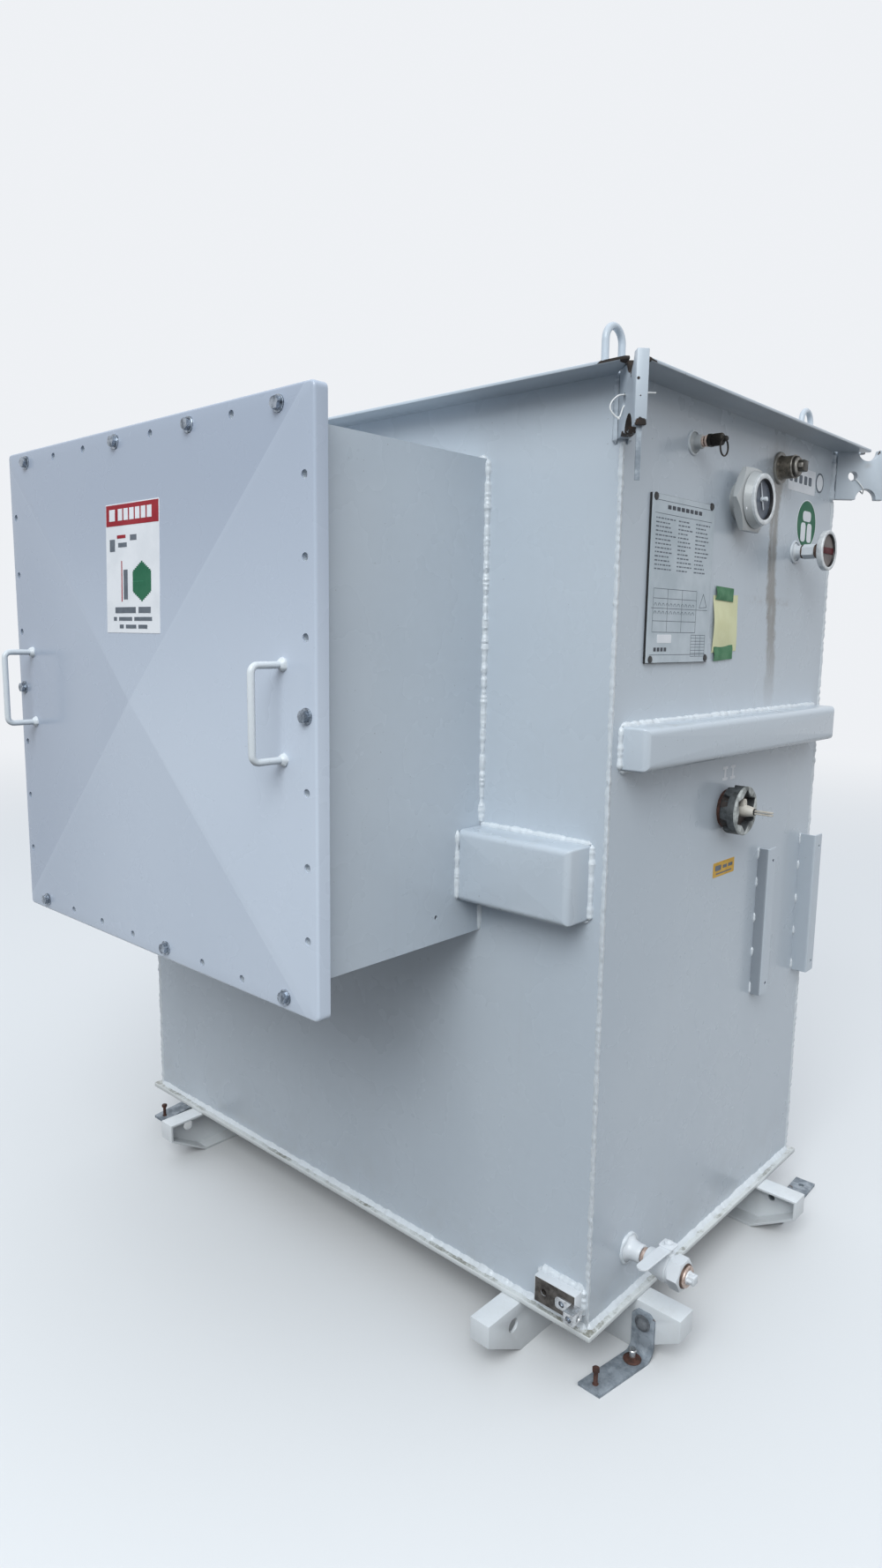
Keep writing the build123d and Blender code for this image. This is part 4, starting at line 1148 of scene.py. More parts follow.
def level_gauge():
    bm = bmesh.new()
    flared(bm, LEVEL, 21, 13.5, 7, 19)
    piece("level_boss", bm, FITTING_PAINT)
    bm = bmesh.new()
    hexagon(bm, LEVEL, X, 27, 19, 46, 30, both=True)
    piece("level_hex", bm, FITTING_PAINT, stands_for=["level_coupling"])
    union = [(45.5, 0), (45.5, 13.6), (48, 15.6), (53, 15.6), (55, 13.5), (55, 12), (62.5, 12), (62.5, 0)]
    spun("level_neck", LEVEL, [union, puck(17, 20, 14.4)], BROWN_RING, "bezel", 36)
    rim = [(62, 0), (62, 38.4), (63.4, 40.6), (65, 41.6), (74, 42), (75.4, 41.2), (76, 39.8), (76, 35.8),
           (75.4, 34.8), (74.6, 34.4), (69.4, 34.4), (69.4, 0)]
    spun("level_rim", LEVEL, [rim], BEZEL, "bezel", 72, stands_for=["level_head"])
    well = [(69.6, 32.6), (69.6, 34.7), (74.8, 34.7), (74.8, 34), (71, 32.6), (69.6, 32.6)]
    spun("level_well", LEVEL, [well], BLACK, "bezel", 60)
    spun("level_face", LEVEL, [puck(69.2, 70, 33)], LEVEL_FACE, "bezel", 44)
    bm = bmesh.new()
    x, y, z = LEVEL
    slab(bm, [(x + 70, y + a, z + b) for a, b in rounded(64, 13, 2)], X * 1.4, 0.5)
    piece("level_band", bm, FLOAT_RED, "float", stands_for=["level_float"])


# Series-parallel switch
SWITCH_STEPS = 72


def switch_loop(reach):
    """Points round the switch's axis; reach gives the place along it and the radius there."""
    points = []
    for i, t in enumerate(turns(SWITCH_STEPS)):
        along, r = reach(i, t)
        points.append(Vector(SWITCH) + X * along + dial_way(t) * r)
    return points


def star(along, grow=0.0):
    """The opening: a star of six tips."""
    tip, dip = 43.5, 31.5

    def reach(_, t):
        off = abs((t + math.pi / 6) % (math.pi / 3) - math.pi / 6)
        edge = tip * dip * 0.5 / (tip * math.sin(off) + dip * math.sin(math.pi / 6 - off))
        return along, edge + grow

    return switch_loop(reach)


def notched(low, high, radius, notch=0.0):
    """A ring round the drum; in every other sixth of the turn it lies further out and lower."""
    def reach(i, _):
        gap = (i + 3) % 12 < 6
        return (high, radius - notch) if gap else (low, radius)

    return switch_loop(reach)


def tap_switch():
    foot = [(-1, 0), (-1, 39), (1, 40), (6.5, 39.5), (8, 38.5), (8, 0)]
    spun("switch_foot", SWITCH, [foot], WASHER, "rusty_steel", 56, stands_for=["switch_flange"])
    drum = [(7, 0), (7, 40.5), (9, 42.5), (30, 42.5), (30, 0)]
    spun("switch_drum", SWITCH, [drum], DRUM_DARK, "switch_black", 56)
    bm = bmesh.new()
    middle = [Vector(SWITCH) + X * 16]
    rings(bm, [middle, notched(12, 26, 42), notched(12, 26, 49, 0.4), notched(13.5, 27.5, 50.2, 0.2),
               notched(41, 41, 50.2), notched(45.4, 45.4, 48.7), notched(45.6, 45.6, 46), star(45.6, 1.5),
               star(44.6), star(16), middle])
    piece("switch_body", bm, SWITCH_GREY, "switch_black", stands_for=["switch_ring"])
    bm = bmesh.new()
    rings(bm, [notched(42, 42, 49.6), notched(42, 42, 50.5), notched(44.4, 44.4, 50.5),
               notched(46.4, 46.4, 48.4), star(46.4, 2), star(45, 1.2), notched(45, 45, 47),
               notched(42, 42, 49.6)])
    piece("switch_front", bm, SWITCH_RIM, "switch_black")
    spun("switch_floor", SWITCH, [puck(15, 18, 30)], BLACK, "switch_black", 36)
    switch_hub()


def switch_hub():
    """The hub with its tongue, the dark end of its shaft, and the pin that sticks out."""
    x, y, z = SWITCH
    bm = bmesh.new()
    turned(bm, SWITCH, X, [(17, 0), (17, 12.8), (46, 12.4), (60, 9.4), (63, 8.2), (63, 0)], 36)
    slab(bm, [(x + 32, y + a, z + b) for a, b in finger_outline(8, 25)], X * 12, 2.6)
    piece("switch_hub", bm, CREAM, "switch_cream", "switch_handle", stands_for=["switch_handle"])
    spun("switch_hub_end", SWITCH, [puck(62.5, 65.4, 6.8)], BLACK, "switch_cream", 32, body="switch_handle")
    bm = bmesh.new()
    for low, high in ((0.9, 4.4), (-4.4, -0.9)):
        bar(bm, (x + 64, y - 4.2, z + low), (x + 102, y + 4.2, z + high), 1.3)
    piece("switch_pin", bm, CREAM, "switch_cream", "switch_handle")


def finger_outline(half, high):
    """Points (across, up) of a tongue with a round end."""
    end = [math.pi * i / 12 for i in range(13)]
    return [(-half, 0), (half, 0)] + [(half * math.cos(t), high - half + half * math.sin(t)) for t in end]


# Drain valve
STEM = Vector((END_X + 87, DRAIN[1], 0))


def drain_valve():
    bell = [(-1, 0), (-1, 26), (0.5, 27.4), (2.6, 27.6), (4.4, 26.4), (6.5, 23.2), (10, 20.8), (16, 19.2),
            (22, 18.6), (32.4, 18.5), (33.6, 17.8), (34, 16.8), (34, 0)]
    spun("drain_boss", DRAIN, [bell], FITTING_PAINT, "paint", 56, stands_for=["drain_coupling"])
    bm = bmesh.new()
    turned(bm, DRAIN, X, puck(33, 36, 14.6), 36)
    turned(bm, DRAIN, X, [(123, 0), (123, 22.6), (125, 23.4), (127.6, 22.6), (127.6, 0)], 44)
    piece("drain_dark_rings", bm, BROWN_RING, "dark_brass")
    bm = bmesh.new()
    turned(bm, DRAIN, X, [(35.4, 0), (35.4, 15.4), (37, 16), (42.6, 15.8), (44.5, 15), (44.5, 0)], 40)
    turned(bm, DRAIN, X, [(127, 0), (127, 20.4), (129, 20.8), (131.4, 19.8), (131.4, 0)], 44)
    piece("drain_thread", bm, PINKISH, "dark_brass")
    bm = bmesh.new()
    body = [(43.6, 0), (43.6, 18.6), (45, 21), (47, 22), (56, 22.2), (59, 23.4), (66, 24.8), (71, 25.4),
            (75, 27.2), (77.5, 28), (93, 28), (94.4, 27), (95.6, 27), (97, 28.2), (100.6, 28.2), (100.6, 0)]
    turned(bm, DRAIN, X, body, 56)
    hexagon(bm, DRAIN, X, 56, 100, 124.4, both=True)
    stem = STEM + Z * DRAIN[2]
    turned(bm, stem, Z, [(20, 0), (20, 13), (30, 12), (32, 9.6), (36, 9), (36, 0)], 28)
    turned(bm, stem, Z, puck(35, 50, 5.2), 20)
    piece("drain_body", bm, FITTING_PAINT, stands_for=["drain_valve_body"])
    drain_plug()
    drain_lever()
    bm = bmesh.new()
    ring_bead(bm, DRAIN, X, 27, 5, 2, 90)
    ring_bead(bm, LEVEL, X, 21, 4, 1.6, 91)
    ring_bead(bm, RELIEF, X, 19, 3.5, 1.4, 93)
    piece("boss_welds", bm, WELD_HIGHLIGHT_PAINT)


def drain_plug():
    bm = bmesh.new()
    turned(bm, DRAIN, X, [(131, 0), (131, 13.5), (134, 12.5), (134, 0)], 32)
    square_head(bm, DRAIN, 8.6, 132.5, 147, 2.2)
    for t in turns(4):
        foot = Vector(DRAIN) + X * 134 + (Y * math.cos(t) + Z * math.sin(t)) * 9.5
        turned(bm, foot, X, [(0, 0), (0, 3.6), (7, 3.4), (9, 1.8), (9, 0)], 12)
    piece("drain_plug_head", bm, FITTING_PAINT, "rusty_steel", stands_for=["drain_plug"])


def drain_lever():
    bm = bmesh.new()
    lever_blade(bm)
    piece("drain_lever_bar", bm, FITTING_PAINT, "paint", "drain_lever", stands_for=["drain_lever"])
    bm = bmesh.new()
    slab(bm, [(STEM.x + a, STEM.y + b - 1, 265.6) for a, b in rounded(29, 27, 4)], Z * 3, 1)
    hexagon(bm, STEM, Z, 15, 268, 273, 12)
    turned(bm, STEM, Z, [(272, 0), (272, 5), (274, 4.4), (275, 2.6), (275, 0)], 18)
    piece("drain_lever_nut", bm, FITTING_PAINT, "paint", "drain_lever")


def lever_blade(bm):
    """A flat bar with rounded ends that steps up beside its hub and rises a little to its tip."""
    quarter = [math.pi / 2 * i / 7 for i in range(8)]
    stations = [(-106 + 11.5 * (1 - math.cos(t)), max(11.5 * math.sin(t), 0.5)) for t in quarter]
    stations += [(-60, 12.0), (-28, 12.4), (-18, 12.5), (2, 12.5)]
    stations += [(4 + 9 * math.sin(t), 12.5 - 9 * (1 - math.cos(t))) for t in quarter]
    thick = 4
    loops = []
    for along, half in stations:
        step = 1.5 * min(1, max(0, (-18 - along) / 10))
        slope = 3.5 * min(1, max(0, (-28 - along) / 78))
        ease = min(1.0, half * 0.6)
        low = 262 + step + slope
        section = ((-half + ease, 0), (half - ease, 0), (half, ease), (half, thick - ease),
                   (half - ease, thick), (-half + ease, thick), (-half, thick - ease), (-half, ease))
        loops.append([Vector((STEM.x + a, STEM.y + along, low + b)) for a, b in section])
    rings(bm, tipped(loops))


# Earthing pad and its clamp
PAD_Z = 169
PAD_HOLES = (648, 692.45)
PAD_LEFT = 625
PAD_RIGHT = 720
PAD_LOW = 142
PAD_HIGH = 196
PAD_FACE = FRONT_Y - 28


def earthing_pad():
    bm = bmesh.new()
    bar(bm, (PAD_LEFT, PAD_FACE, PAD_LOW), (PAD_RIGHT, FRONT_Y + 1, PAD_HIGH), 2)
    block = piece("ground_pad_block", bm, FITTING_PAINT, "galvanised", stands_for=["ground_pad"])
    bm = bmesh.new()
    bar(bm, (627.5, PAD_FACE - 0.5, 144), (718.2, PAD_FACE + 1, 194), 0.3, 1)
    bare = piece("ground_pad_face", bm, PAD_STEEL, "galvanised")
    for made in (block, bare):
        cut(made, [((x, FRONT_Y - 40, PAD_Z), Y, puck(0, 38, 7), 24) for x in PAD_HOLES])
    bm = bmesh.new()
    for start, end, out, leg, bulge, seed, pitch in (
        ((624, PAD_HIGH), (721, PAD_HIGH), Z, 10, 3.2, 101, 16),
        ((PAD_RIGHT, PAD_LOW), (PAD_RIGHT, 198), X, 7, 2.6, 102, 14),
        ((PAD_LEFT, PAD_LOW), (PAD_LEFT, 198), -X, 9, 4, 103, 6),
    ):
        bead(bm, (start[0], FRONT_Y, start[1]), (end[0], FRONT_Y, end[1]), out, -Y, leg, bulge, seed, pitch)
    piece("pad_welds", bm, WELD_HIGHLIGHT_PAINT)
    earthing_clamp()
    bm = bmesh.new()
    lining = [(15, 0), (15, 5.9), (0.6, 5.9), (0.6, 6.9), (17, 6.9), (17, 0)]
    turned(bm, (PAD_HOLES[0], PAD_FACE + 1, PAD_Z), Y, lining, 24)
    piece("pad_hole_lining", bm, PAD_STEEL, "galvanised")
    bm = bmesh.new()
    cup = [(-3, 0), (-3, 5.2), (0, 5.0), (0.6, 4.2), (0.6, 2.6), (-1.6, 2.4), (-1.6, 0)]
    turned(bm, (725.4, PAD_FACE - 27.4, PAD_Z), -Y, cup, 24)
    hexagon(bm, (PAD_HOLES[1], PAD_FACE, PAD_Z), -Y, 10.5, -3, 2.6, 20)
    piece("clamp_screws", bm, ZINC, "galvanised")


def earthing_clamp():
    """A block with holes for a wire and its screw, on a tongue that the second hole of the pad holds."""
    bm = bmesh.new()
    tongue = [(713.6, 157), (713.6, 181), (686, 181)]
    tongue += [(686 - 8.5 * math.sin(t), 172.5 + 8.5 * math.cos(t)) for t in (0.4, 0.8, 1.2, 1.57)]
    tongue += [(677.5, 163)]
    tongue += [(683.5 - 6 * math.cos(t), 163 - 6 * math.sin(t)) for t in (0.5, 1.0, 1.57)]
    slab(bm, [(x, PAD_FACE, z) for x, z in tongue], Y * -5, 1)
    bar(bm, (713.4, PAD_FACE - 30, 157.5), (737.4, PAD_FACE, 180.5), 2)
    made = piece("clamp_block", bm, BRIGHT, "galvanised", stands_for=["ground_clamp"])
    cut(made, [
        ((PAD_HOLES[1], PAD_FACE - 12, PAD_Z), Y, puck(0, 14, 6.5), 24),
        ((725.4, PAD_FACE - 31, PAD_Z), Y, [(0, 0), (0, 7), (3, 6), (6, 6), (6, 0)], 28),
        ((738.4, PAD_FACE - 15, PAD_Z), -X, [(0, 0), (0, 6.4), (3, 5), (19, 5), (19, 0)], 24),
    ], overlapping=True)


# Bolts of the hold-down angles
def angle_bolts():
    """Domed bolts through the skids' noses, and what holds the near angles down."""
    nose = END_X + 36
    root = 298
    leg = 160
    skew = 22
    heads, washers, studs, lags = (bmesh.new() for _ in range(4))
    dome = [(-0.5, 0), (-0.5, 17), (1.4, 17), (2, 16), (2.2, 13.4), (5, 13), (8, 11), (10, 7.4), (11, 3),
            (11, 0)]
    seat = [(6.5, 0), (6.5, 17.4), (8.6, 18), (9.8, 16.4), (11, 9), (14, 8), (14, 0)]
    for sx in (-1, 1):
        for sy in (-1, 1):
            turned(heads, (sx * nose, sy * (root + 7), 69), Y * sy, dome, 32)
        foot = Vector((sx * (nose + 2 - skew * 0.18), -root - leg * 0.235, 0))
        turned(washers, foot, Z, seat, 32)
        turned(studs, foot, Z, [(9, 0), (9, 6), (25, 6), (25.4, 8.2), (28, 8.6), (29.6, 7.2), (30, 0)], 24)
        foot = Vector((sx * (nose - skew * 0.88), -root - leg * 0.88, 0))
        turned(lags, foot, Z, [(6, 0), (6, 6.4), (7.6, 6), (8, 4), (8, 0)], 24)
        threaded(lags, foot, Z, 4.4, 7, 34)
        hexagon(lags, foot, Z, 13, 34, 41, 10)
    piece("angle_bolt_heads", heads, HEAD_GREY, "galvanised")
    piece("near_angle_washers", washers, WASHER, "rusty_steel")
    piece("near_angle_studs", studs, BRIGHT, "galvanised")
    piece("near_angle_lags", lags, WASHER, "rusty_steel")


# Plates, labels and notes, on faces that look along +X
def patch(bm, x, y0, y1, z0, z1, thick, corner):
    """A thin patch with rounded corners."""
    middle_y, middle_z = (y0 + y1) / 2, (z0 + z1) / 2
    slab(bm, [(x, middle_y + a, middle_z + b) for a, b in rounded(y1 - y0, z1 - z0, corner, 4)], X * thick)


# Nameplate: its sheet's edges, and the face that its marks stand on
PLATE_LEFT = -357
PLATE_RIGHT = -131
PLATE_LOW = 1365
PLATE_HIGH = 1655
PLATE_FACE = END_X + 5.5


def nameplate():
    eased("nameplate", "nameplate_sheet", 0.4, PLATE, "plate", segments=1)
    # Black block behind the plate, showing past its left and lower edges: painted shadow in the gap under the
    # plate.
    bm = bmesh.new()
    bar(bm, (END_X + 0.6, PLATE_LEFT - 1.2, PLATE_LOW - 1.2),
        (PLATE_FACE - 1.4, PLATE_RIGHT + 0.6, PLATE_HIGH + 0.6), 0.3, 1)
    piece("nameplate_shadow_block", bm, BLACK, "plate")
    bm = bmesh.new()
    for z in (PLATE_HIGH - 10, PLATE_HIGH - 32, PLATE_LOW + 96, PLATE_LOW + 14):
        patch(bm, PLATE_FACE, PLATE_LEFT + 10, PLATE_RIGHT - 10, z - 0.5, z + 0.5, 0.12, 0.2)
    plate_lines(bm)
    plate_diagram(bm)
    plate_table(bm)
    piece("nameplate_marks", bm, INK, "plate", sharp=20)
    bm = bmesh.new()
    for i in range(8):
        y = PLATE_LEFT + 52 + 16 * i
        patch(bm, PLATE_FACE, y, y + 12, PLATE_HIGH - 23, PLATE_HIGH - 16, 0.12, 0.6)
    for i in range(4):
        y = PLATE_LEFT + 24 + 12 * i
        patch(bm, PLATE_FACE, y, y + 9, PLATE_LOW + 20, PLATE_LOW + 27, 0.12, 0.6)
    piece("nameplate_heading", bm, DARK_INK, "plate", sharp=20)
    bm = bmesh.new()
    for y, z in ((-346, 1650), (-144, 1652), (-140, 1372), (-343, 1371)):
        turned(bm, (END_X + 5, y, z), X, [(0, 0), (0, 7.0), (1.6, 6.6), (3.2, 4.4), (3.6, 0)], 20)
    piece("nameplate_screws", bm, BLACK)


def plate_lines(bm):
    """Rows of dashes in three columns."""
    for row in range(13):
        z = PLATE_HIGH - 40 - 7.2 * row
        for column, (low, high) in enumerate(((14, 84), (92, 148), (156, 212))):
            at = low
            word = 0
            while at < high - 6 - (row * 17 + column * 11) % 22:
                size = 4 + (row * 7 + column * 5 + word * 3) % 8
                y = PLATE_LEFT + at
                patch(bm, PLATE_FACE, y, PLATE_LEFT + min(at + size, high), z - 1.2, z + 1.2, 0.1, 0.3)
                at += size + 2.6
                word += 1


def plate_diagram(bm):
    """A plain frame with two rows of arches, and a triangle beside it."""
    face = X * PLATE_FACE
    low = PLATE_LOW + 54
    high = PLATE_LOW + 130
    for share in (0, 0.26, 0.78, 1):
        z = low + (high - low) * share
        patch(bm, PLATE_FACE, PLATE_LEFT + 16, PLATE_LEFT + 172, z - 0.5, z + 0.5, 0.12, 0.2)
    for across in (16, 66, 118, 172):
        y = PLATE_LEFT + across
        patch(bm, PLATE_FACE, y - 0.5, y + 0.5, low, high, 0.12, 0.2)
    for level in (low + 32, low + 46):
        for i in range(11):
            y = PLATE_LEFT + 24 + 13.6 * i
            arch = [Y * (y + 4 * math.cos(math.pi * k / 6)) + Z * (level + 5 * math.sin(math.pi * k / 6))
                    for k in range(7)]
            for start, end in zip(arch, arch[1:]):
                dial_line(bm, face, start, end, 0.9)
    corners = [Y * (PLATE_LEFT + a) + Z * (PLATE_LOW + b) for a, b in ((184, 100), (212, 102), (198, 126))]
    for start, end in zip(corners, corners[1:] + corners[:1]):
        dial_line(bm, face, start, end, 1.0)


def plate_table(bm):
    """An empty table."""
    for i in range(8):
        z = PLATE_LOW + 10 + 5.6 * i
        patch(bm, PLATE_FACE, PLATE_LEFT + 158, PLATE_LEFT + 212, z, z + 0.9, 0.12, 0.2)
    for across in (158, 176, 194, 212):
        y = PLATE_LEFT + across
        patch(bm, PLATE_FACE, y - 0.4, y + 0.4, PLATE_LOW + 10, PLATE_LOW + 50, 0.12, 0.2)


def curled(bm, y0, y1, z0, z1, lift, turn, seed):
    """A sheet of paper taped to the wall a little askew, waving off it."""
    t = math.radians(turn)

    def point(a, b, back):
        u, v = (y1 - y0) * (a - 0.5), (z1 - z0) * (b - 0.5)
        wave = 0.5 + 0.5 * math.sin(3.1 * a + 2.2 * b * b + seed)
        off = lift * wave * math.sin(math.pi * min(1, b * 1.1)) + (0 if back else 0.35)
        return Vector((END_X + 0.6 + off, (y0 + y1) / 2 + u * math.cos(t) - v * math.sin(t),
                       (z0 + z1) / 2 + u * math.sin(t) + v * math.cos(t)))

    leaf(bm, point, 14)


def end_wall_labels():
    bm = bmesh.new()
    curled(bm, -107, -4, 1383, 1493, 4.5, 2, 0.4)
    piece("yellow_note", bm, NOTE, sharp=50)
    bm = bmesh.new()
    curled(bm, -102, -28, 1482, 1508, 2.6, -2, 1.0)
    curled(bm, -99, -20, 1367, 1395, 2.6, 3, 2.0)
    bmesh.ops.translate(bm, verts=bm.verts, vec=X * 1.4)
    piece("note_tapes", bm, TAPE, sharp=50)
    ring = (END_X, 366, 1755)
    bm = bmesh.new()
    patch(bm, END_X, 199, 341, 1724, 1775, 0.4, 3)
    turned(bm, ring, X, puck(-0.5, 0.5, 18), 36)
    patch(bm, PLATE_FACE, -322, -272, 1400, 1415, 0.3, 2)
    for y in (-14, 20):
        for half, low, high, thick in ((11, 1121, 1127, 0.4), (11, 1144, 1150, 0.4), (4, 1121, 1150, 0.5)):
            patch(bm, END_X, y - half, y + half, low, high, thick, 2)
    piece("white_labels", bm, WHITE)
    hoop = [(-0.5, 17.5), (-0.5, 21.5), (0.6, 21.5), (0.6, 17.5), (-0.5, 17.5)]
    spun("round_label_ring", ring, [hoop], INK)
    disc = (END_X, 308, 1660)
    spun("green_label", disc, [puck(-0.5, 0.5, 50)], GREEN, count=48)
    bm = bmesh.new()
    turned(bm, disc, X, [(-0.5, 50), (-0.5, 52.5), (0.4, 52.5), (0.4, 50), (-0.5, 50)], 48)
    patch(bm, END_X + 0.4, 286, 330, 1666, 1688, 0.3, 9)
    for y in (279, 312):
        patch(bm, END_X + 0.4, y, y + 25, 1622, 1663, 0.3, 8)
    piece("green_label_blocks", bm, WHITE)
    bm = bmesh.new()
    patch(bm, END_X, -43, 52, 919, 950, 0.4, 2)
    piece("yellow_label", bm, YELLOW)
    bm = bmesh.new()
    for y0, y1, z0, z1 in ((-34, -8, 932, 943), (0, 18, 934, 941), (24, 44, 934, 941), (-30, 40, 924, 927)):
        patch(bm, END_X + 0.35, y0, y1, z0, z1, 0.2, 1)
    for y in (212, 236, 262, 288, 312):
        patch(bm, END_X + 0.35, y - 8, y + 8, 1742, 1760, 0.2, 3)
    piece("label_marks", bm, INK)


# Label on the chamber's cover: a white sheet with plain blocks of colour, each x0, x1, z0, z1
LABEL_HEXAGON = [(19 - half, 19 + half, low, low + 3) for low, half in
                 ((z, min(31, (36 - abs(z - 1496.5)) * 1.732)) for z in range(1462, 1534, 3))]
LABEL_BLOCKS = (
    ("cover_label_white", WHITE, 0.7, [(-106, 78, 1405, 1640)]),
    ("cover_label_red", RED, 1.1, [(-104, 76, 1600, 1638)]),
    ("cover_label_small_red", RED, 1.1, [(-52, -49, 1462, 1536), (-66, -36, 1577, 1583)]),
    ("cover_label_heading", WHITE, 1.5, [(-92, -72, 1609, 1630)]
     + [(-61 + 20 * i, -46 + 20 * i, 1609, 1630) for i in range(6)]),
    ("cover_label_green", GREEN, 1.1, LABEL_HEXAGON),
    ("cover_label_marks", INK, 1.1, [
        (-92, -74, 1554, 1576), (-62, -32, 1561, 1569), (-20, 2, 1572, 1582), (-44, -30, 1466, 1520),
        (-75, -3, 1441, 1452), (7, 48, 1441, 1452), (-81, -70, 1427, 1434), (-62, -16, 1427, 1434),
        (-8, 52, 1427, 1434), (-60, -46, 1413, 1420), (-38, -2, 1413, 1420), (6, 36, 1413, 1420),
    ]),
)


def cover_block(bm, x0, x1, z0, z1, lift, steps):
    """A thin block that lies on the cover's sloping faces."""
    def point(a, b, back):
        x = x0 + (x1 - x0) * a
        z = z0 + (z1 - z0) * b
        across = abs(x - APEX[0]) / (PANEL_HALF_X - PANEL_BEND)
        over = abs(z - APEX[1]) / (PANEL_HALF_Z - PANEL_BEND)
        face = PANEL_Y - RISE * (1 - max(across, over))
        return Vector((x, face + (1 if back else -lift), z))

    leaf(bm, point, steps)


def cover_label():
    for name, material, lift, places in LABEL_BLOCKS:
        bm = bmesh.new()
        for place in places:
            cover_block(bm, *place, lift, 10 if len(places) == 1 else 3)
        piece(name, bm, material)


# Terminal box angles: the place and the depth of each
BOX_ANGLES = ((170, 24.5), (398, 38))


def box_angles():
    thick = 4
    bend = 5
    width = 40
    low, high = 612, 950
    bm = bmesh.new()
    for y, depth in BOX_ANGLES:
        x = END_X + depth
        flat = [(END_X - 1, y)]
        for i in range(6):
            t = math.pi / 2 * i / 5
            flat.append((x - bend + bend * math.sin(t), y + bend - bend * math.cos(t)))
        flat += [(x, y + width), (x - thick, y + width), (x - thick, y + bend), (x - bend, y + thick),
                 (END_X - 1, y + thick)]
        slab(bm, [(a, b, low) for a, b in flat], Z * (high - low), 0.6, 1)
    made = piece("box_angle_bars", bm, ANGLE_PAINT, stands_for=["box_angles"])
    holes = [(END_X + depth - 8, y + 26, z) for y, depth in BOX_ANGLES for z in (636, 921)]
    cut(made, [(hole, X, puck(0, 14, 4), 18) for hole in holes])
    bm = bmesh.new()
    for (y, _), seed in zip(BOX_ANGLES, (1.0, 5.0)):
        for z0, z1 in ((low, 640), (700, 722), (780, 802), (862, 884), (925, 951)):
            bead(bm, (END_X, y, z0), (END_X, y, z1), X, -Y, 3.5, 1.5, seed + z0 * 0.01)
            bead(bm, (END_X, y + thick, z0), (END_X, y + thick, z1), X, Y, 3.5, 1.5, seed + z0 * 0.02)
    piece("box_angle_welds", bm, WELD_HIGHLIGHT_PAINT)


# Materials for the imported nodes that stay
def dress_nodes():
    slots = {part["node"]: part["material_slot"] for part in frame["record"]["subparts"]}
    by_slot = {
        "galvanised": GALVANISED, "dark_brass": BLACKENED, "dark_steel": OILY, "rusty_steel": RUSTY,
        "bezel": BEZEL, "dial": DIAL, "pointer": MARKS, "float": FLOAT_RED, "switch_black": SWITCH_GREY,
        "switch_cream": CREAM, "plate": PLATE, "core": RUSTY,
    }
    by_name = {"tank_right_wall": WALL_PAINT, "tank_cover": COVER_PAINT}
    for name, obj in frame["nodes"].items():
        obj.data.materials.clear()
        obj.data.materials.append(by_name.get(name, by_slot.get(slots[name], STEEL_PAINT)))


# Studio: a pale floor that runs into an even pale background, and soft light
BACKDROP = (0.86, 0.88, 0.91, 1)
SKY_LOW = 0.24
SKY_HIGH = 1.30


def studio_world():
    world = bpy.data.worlds.new("studio")
    bpy.context.scene.world = world
    world.use_nodes = True
    nodes = Nodes(world.node_tree)
    way = nodes.add("SeparateXYZ", nodes.add("TexCoord").outputs["Generated"])
    climb = nodes.add("MapRange", way.outputs[2], 0.0, 1.0, SKY_LOW, SKY_HIGH)
    seen = nodes.add("Background", BACKDROP, 1.0)
    lit = nodes.add("Background", (0.94, 0.99, 1.05, 1), climb.outputs[0])
    nodes.add("OutputWorld", nodes.blend(nodes.seen(), lit, seen).outputs[0])


def studio_floor():
    bm = bmesh.new()
    turned(bm, (0, 0, 0), Z, [(0, 60000), (0, 9000), (0, 3500), (0, 0)], 96)
    bm.transform(Matrix.Scale(0.001, 4))
    mesh = bpy.data.meshes.new("floor")
    bm.to_mesh(mesh)
    bm.free()
    floor = placed("floor", mesh)
    shade = Shade("floor")
    pale = shade.add("BsdfDiffuse", (0.69, 0.70, 0.71, 1))
    dim = shade.add("BsdfDiffuse", (0.09, 0.09, 0.09, 1))
    near = shade.blend(shade.seen(), dim, pale)
    far = shade.add("Emission", BACKDROP)
    distance = shade.add("VectorMath", shade.place, operation="LENGTH").outputs["Value"]
    share = shade.times(shade.span(distance, 3.0, 11.0), shade.seen())
    shade.feed(shade.output.inputs[0], shade.blend(share, near, far).outputs[0])
    mesh.materials.append(shade.material)


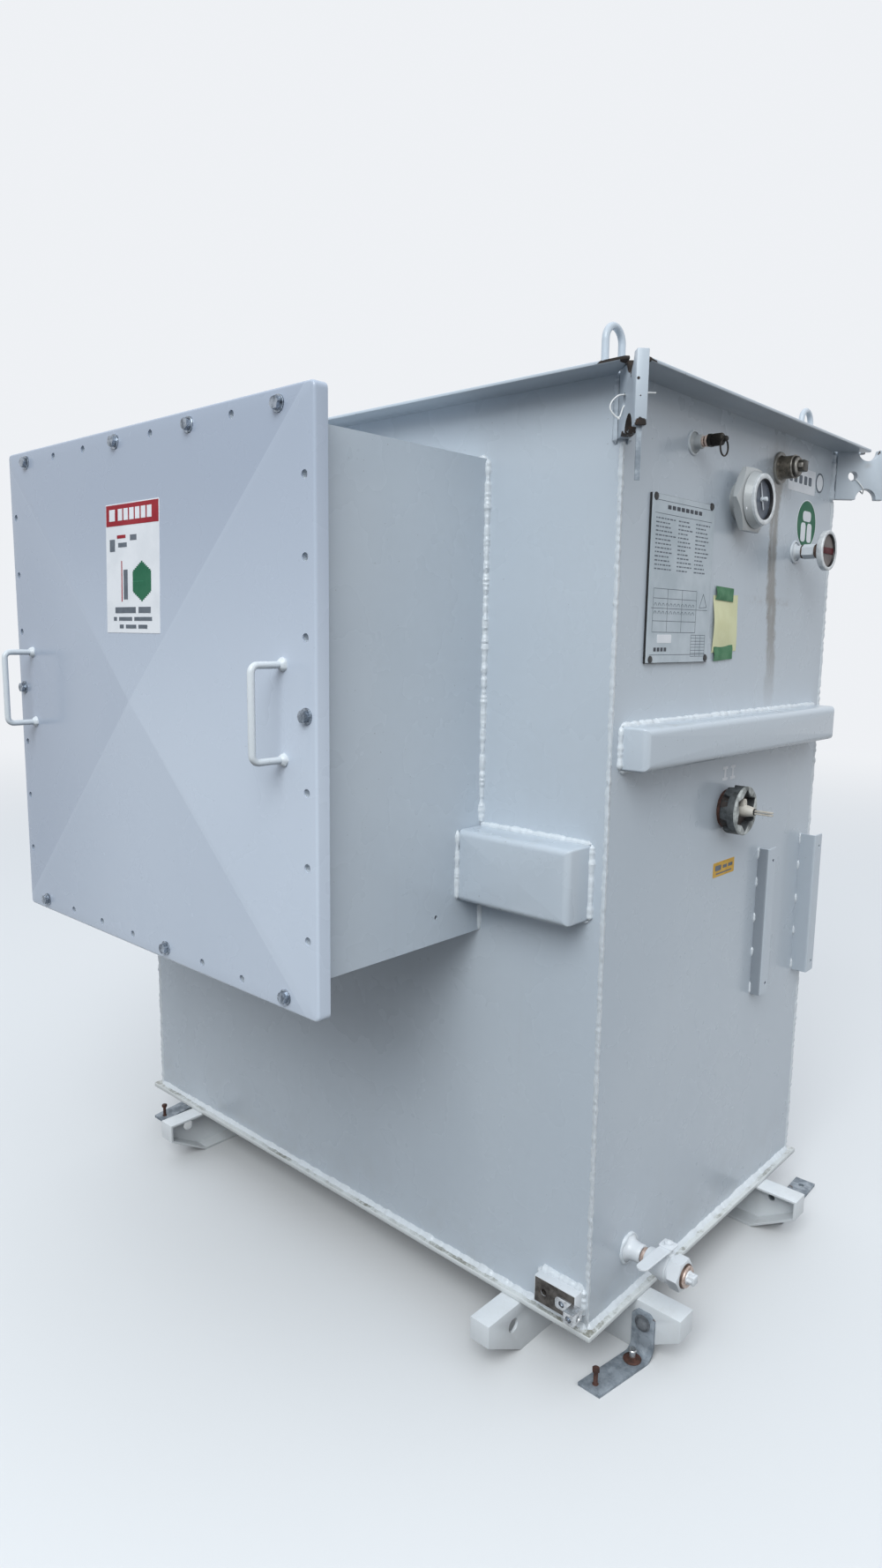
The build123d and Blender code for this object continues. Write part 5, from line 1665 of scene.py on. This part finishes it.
def lamp(name, place, target, size, power, colour):
    data = bpy.data.lights.new(name, "AREA")
    data.shape = "SQUARE"
    data.size = size
    data.energy = power
    data.color = colour
    obj = placed(name, data)
    obj.location = place
    obj.rotation_euler = (Vector(target) - Vector(place)).to_track_quat("-Z", "Y").to_euler()


def camera():
    """The photograph's viewpoint, solved from its points."""
    yaw, pitch, roll = (math.radians(angle) for angle in (42.35, -8.88, 0.78))
    forward = Vector((-math.sin(yaw) * math.cos(pitch), math.cos(yaw) * math.cos(pitch), math.sin(pitch)))
    right = forward.cross(Z).normalized()
    up = right.cross(forward)
    tilted_right = right * math.cos(roll) + up * math.sin(roll)
    tilted_up = up * math.cos(roll) - right * math.sin(roll)
    sensor = 36
    focal_pixels = 1098.25
    height_pixels = 1778
    data = bpy.data.cameras.new("camera")
    data.sensor_fit = "VERTICAL"
    data.sensor_height = sensor
    data.sensor_width = sensor
    data.lens = focal_pixels * sensor / height_pixels
    data.clip_end = 200
    obj = placed("camera", data)
    turn = Matrix((tilted_right, tilted_up, -forward)).transposed().to_4x4()
    obj.matrix_world = Matrix.Translation((1.6083, -1.6575, 1.4130)) @ turn
    bpy.context.scene.camera = obj


camera()
studio_world()
studio_floor()
lamp("key", (2.9, -5.2, 5.9), (0, 0, 0.9), 4.6, 390, (0.95, 0.99, 1.0))
lamp("side", (5.4, 1.2, 1.5), (0.8, 0.2, 1.2), 3.0, 20, (1.0, 0.99, 0.96))
dress_nodes()
chamber_cover_sheet()
chamber_cover_bolts()
cover_handles()
stiffeners()
stiffener_welds()
seam_welds()
chamber_welds()
base_welds()
lugs()
lug_welds()
cover_loop_welds()
lug_tie()
relief_valve()
thermometer()
fill_plug()
level_gauge()
tap_switch()
drain_valve()
earthing_pad()
angle_bolts()
nameplate()
end_wall_labels()
cover_label()
box_angles()
eased("cross_skids", "cross_skid_bars", 4, SKID_PAINT_AND_PAINTED_LIGHT, segments=3)
eased("long_skids", "long_skid_bars", 4, SKID_PAINT_AND_PAINTED_LIGHT, segments=3)
eased("hold_down_angles", "hold_down_straps", 1.2, GALVANISED, "galvanised")
eased("base_plate", "base_sheet", 2.5, base_paint())
eased("tank_cover", "cover_sheet", 1.5, COVER_PAINT)

bpy.context.scene.view_settings.view_transform = "Standard"
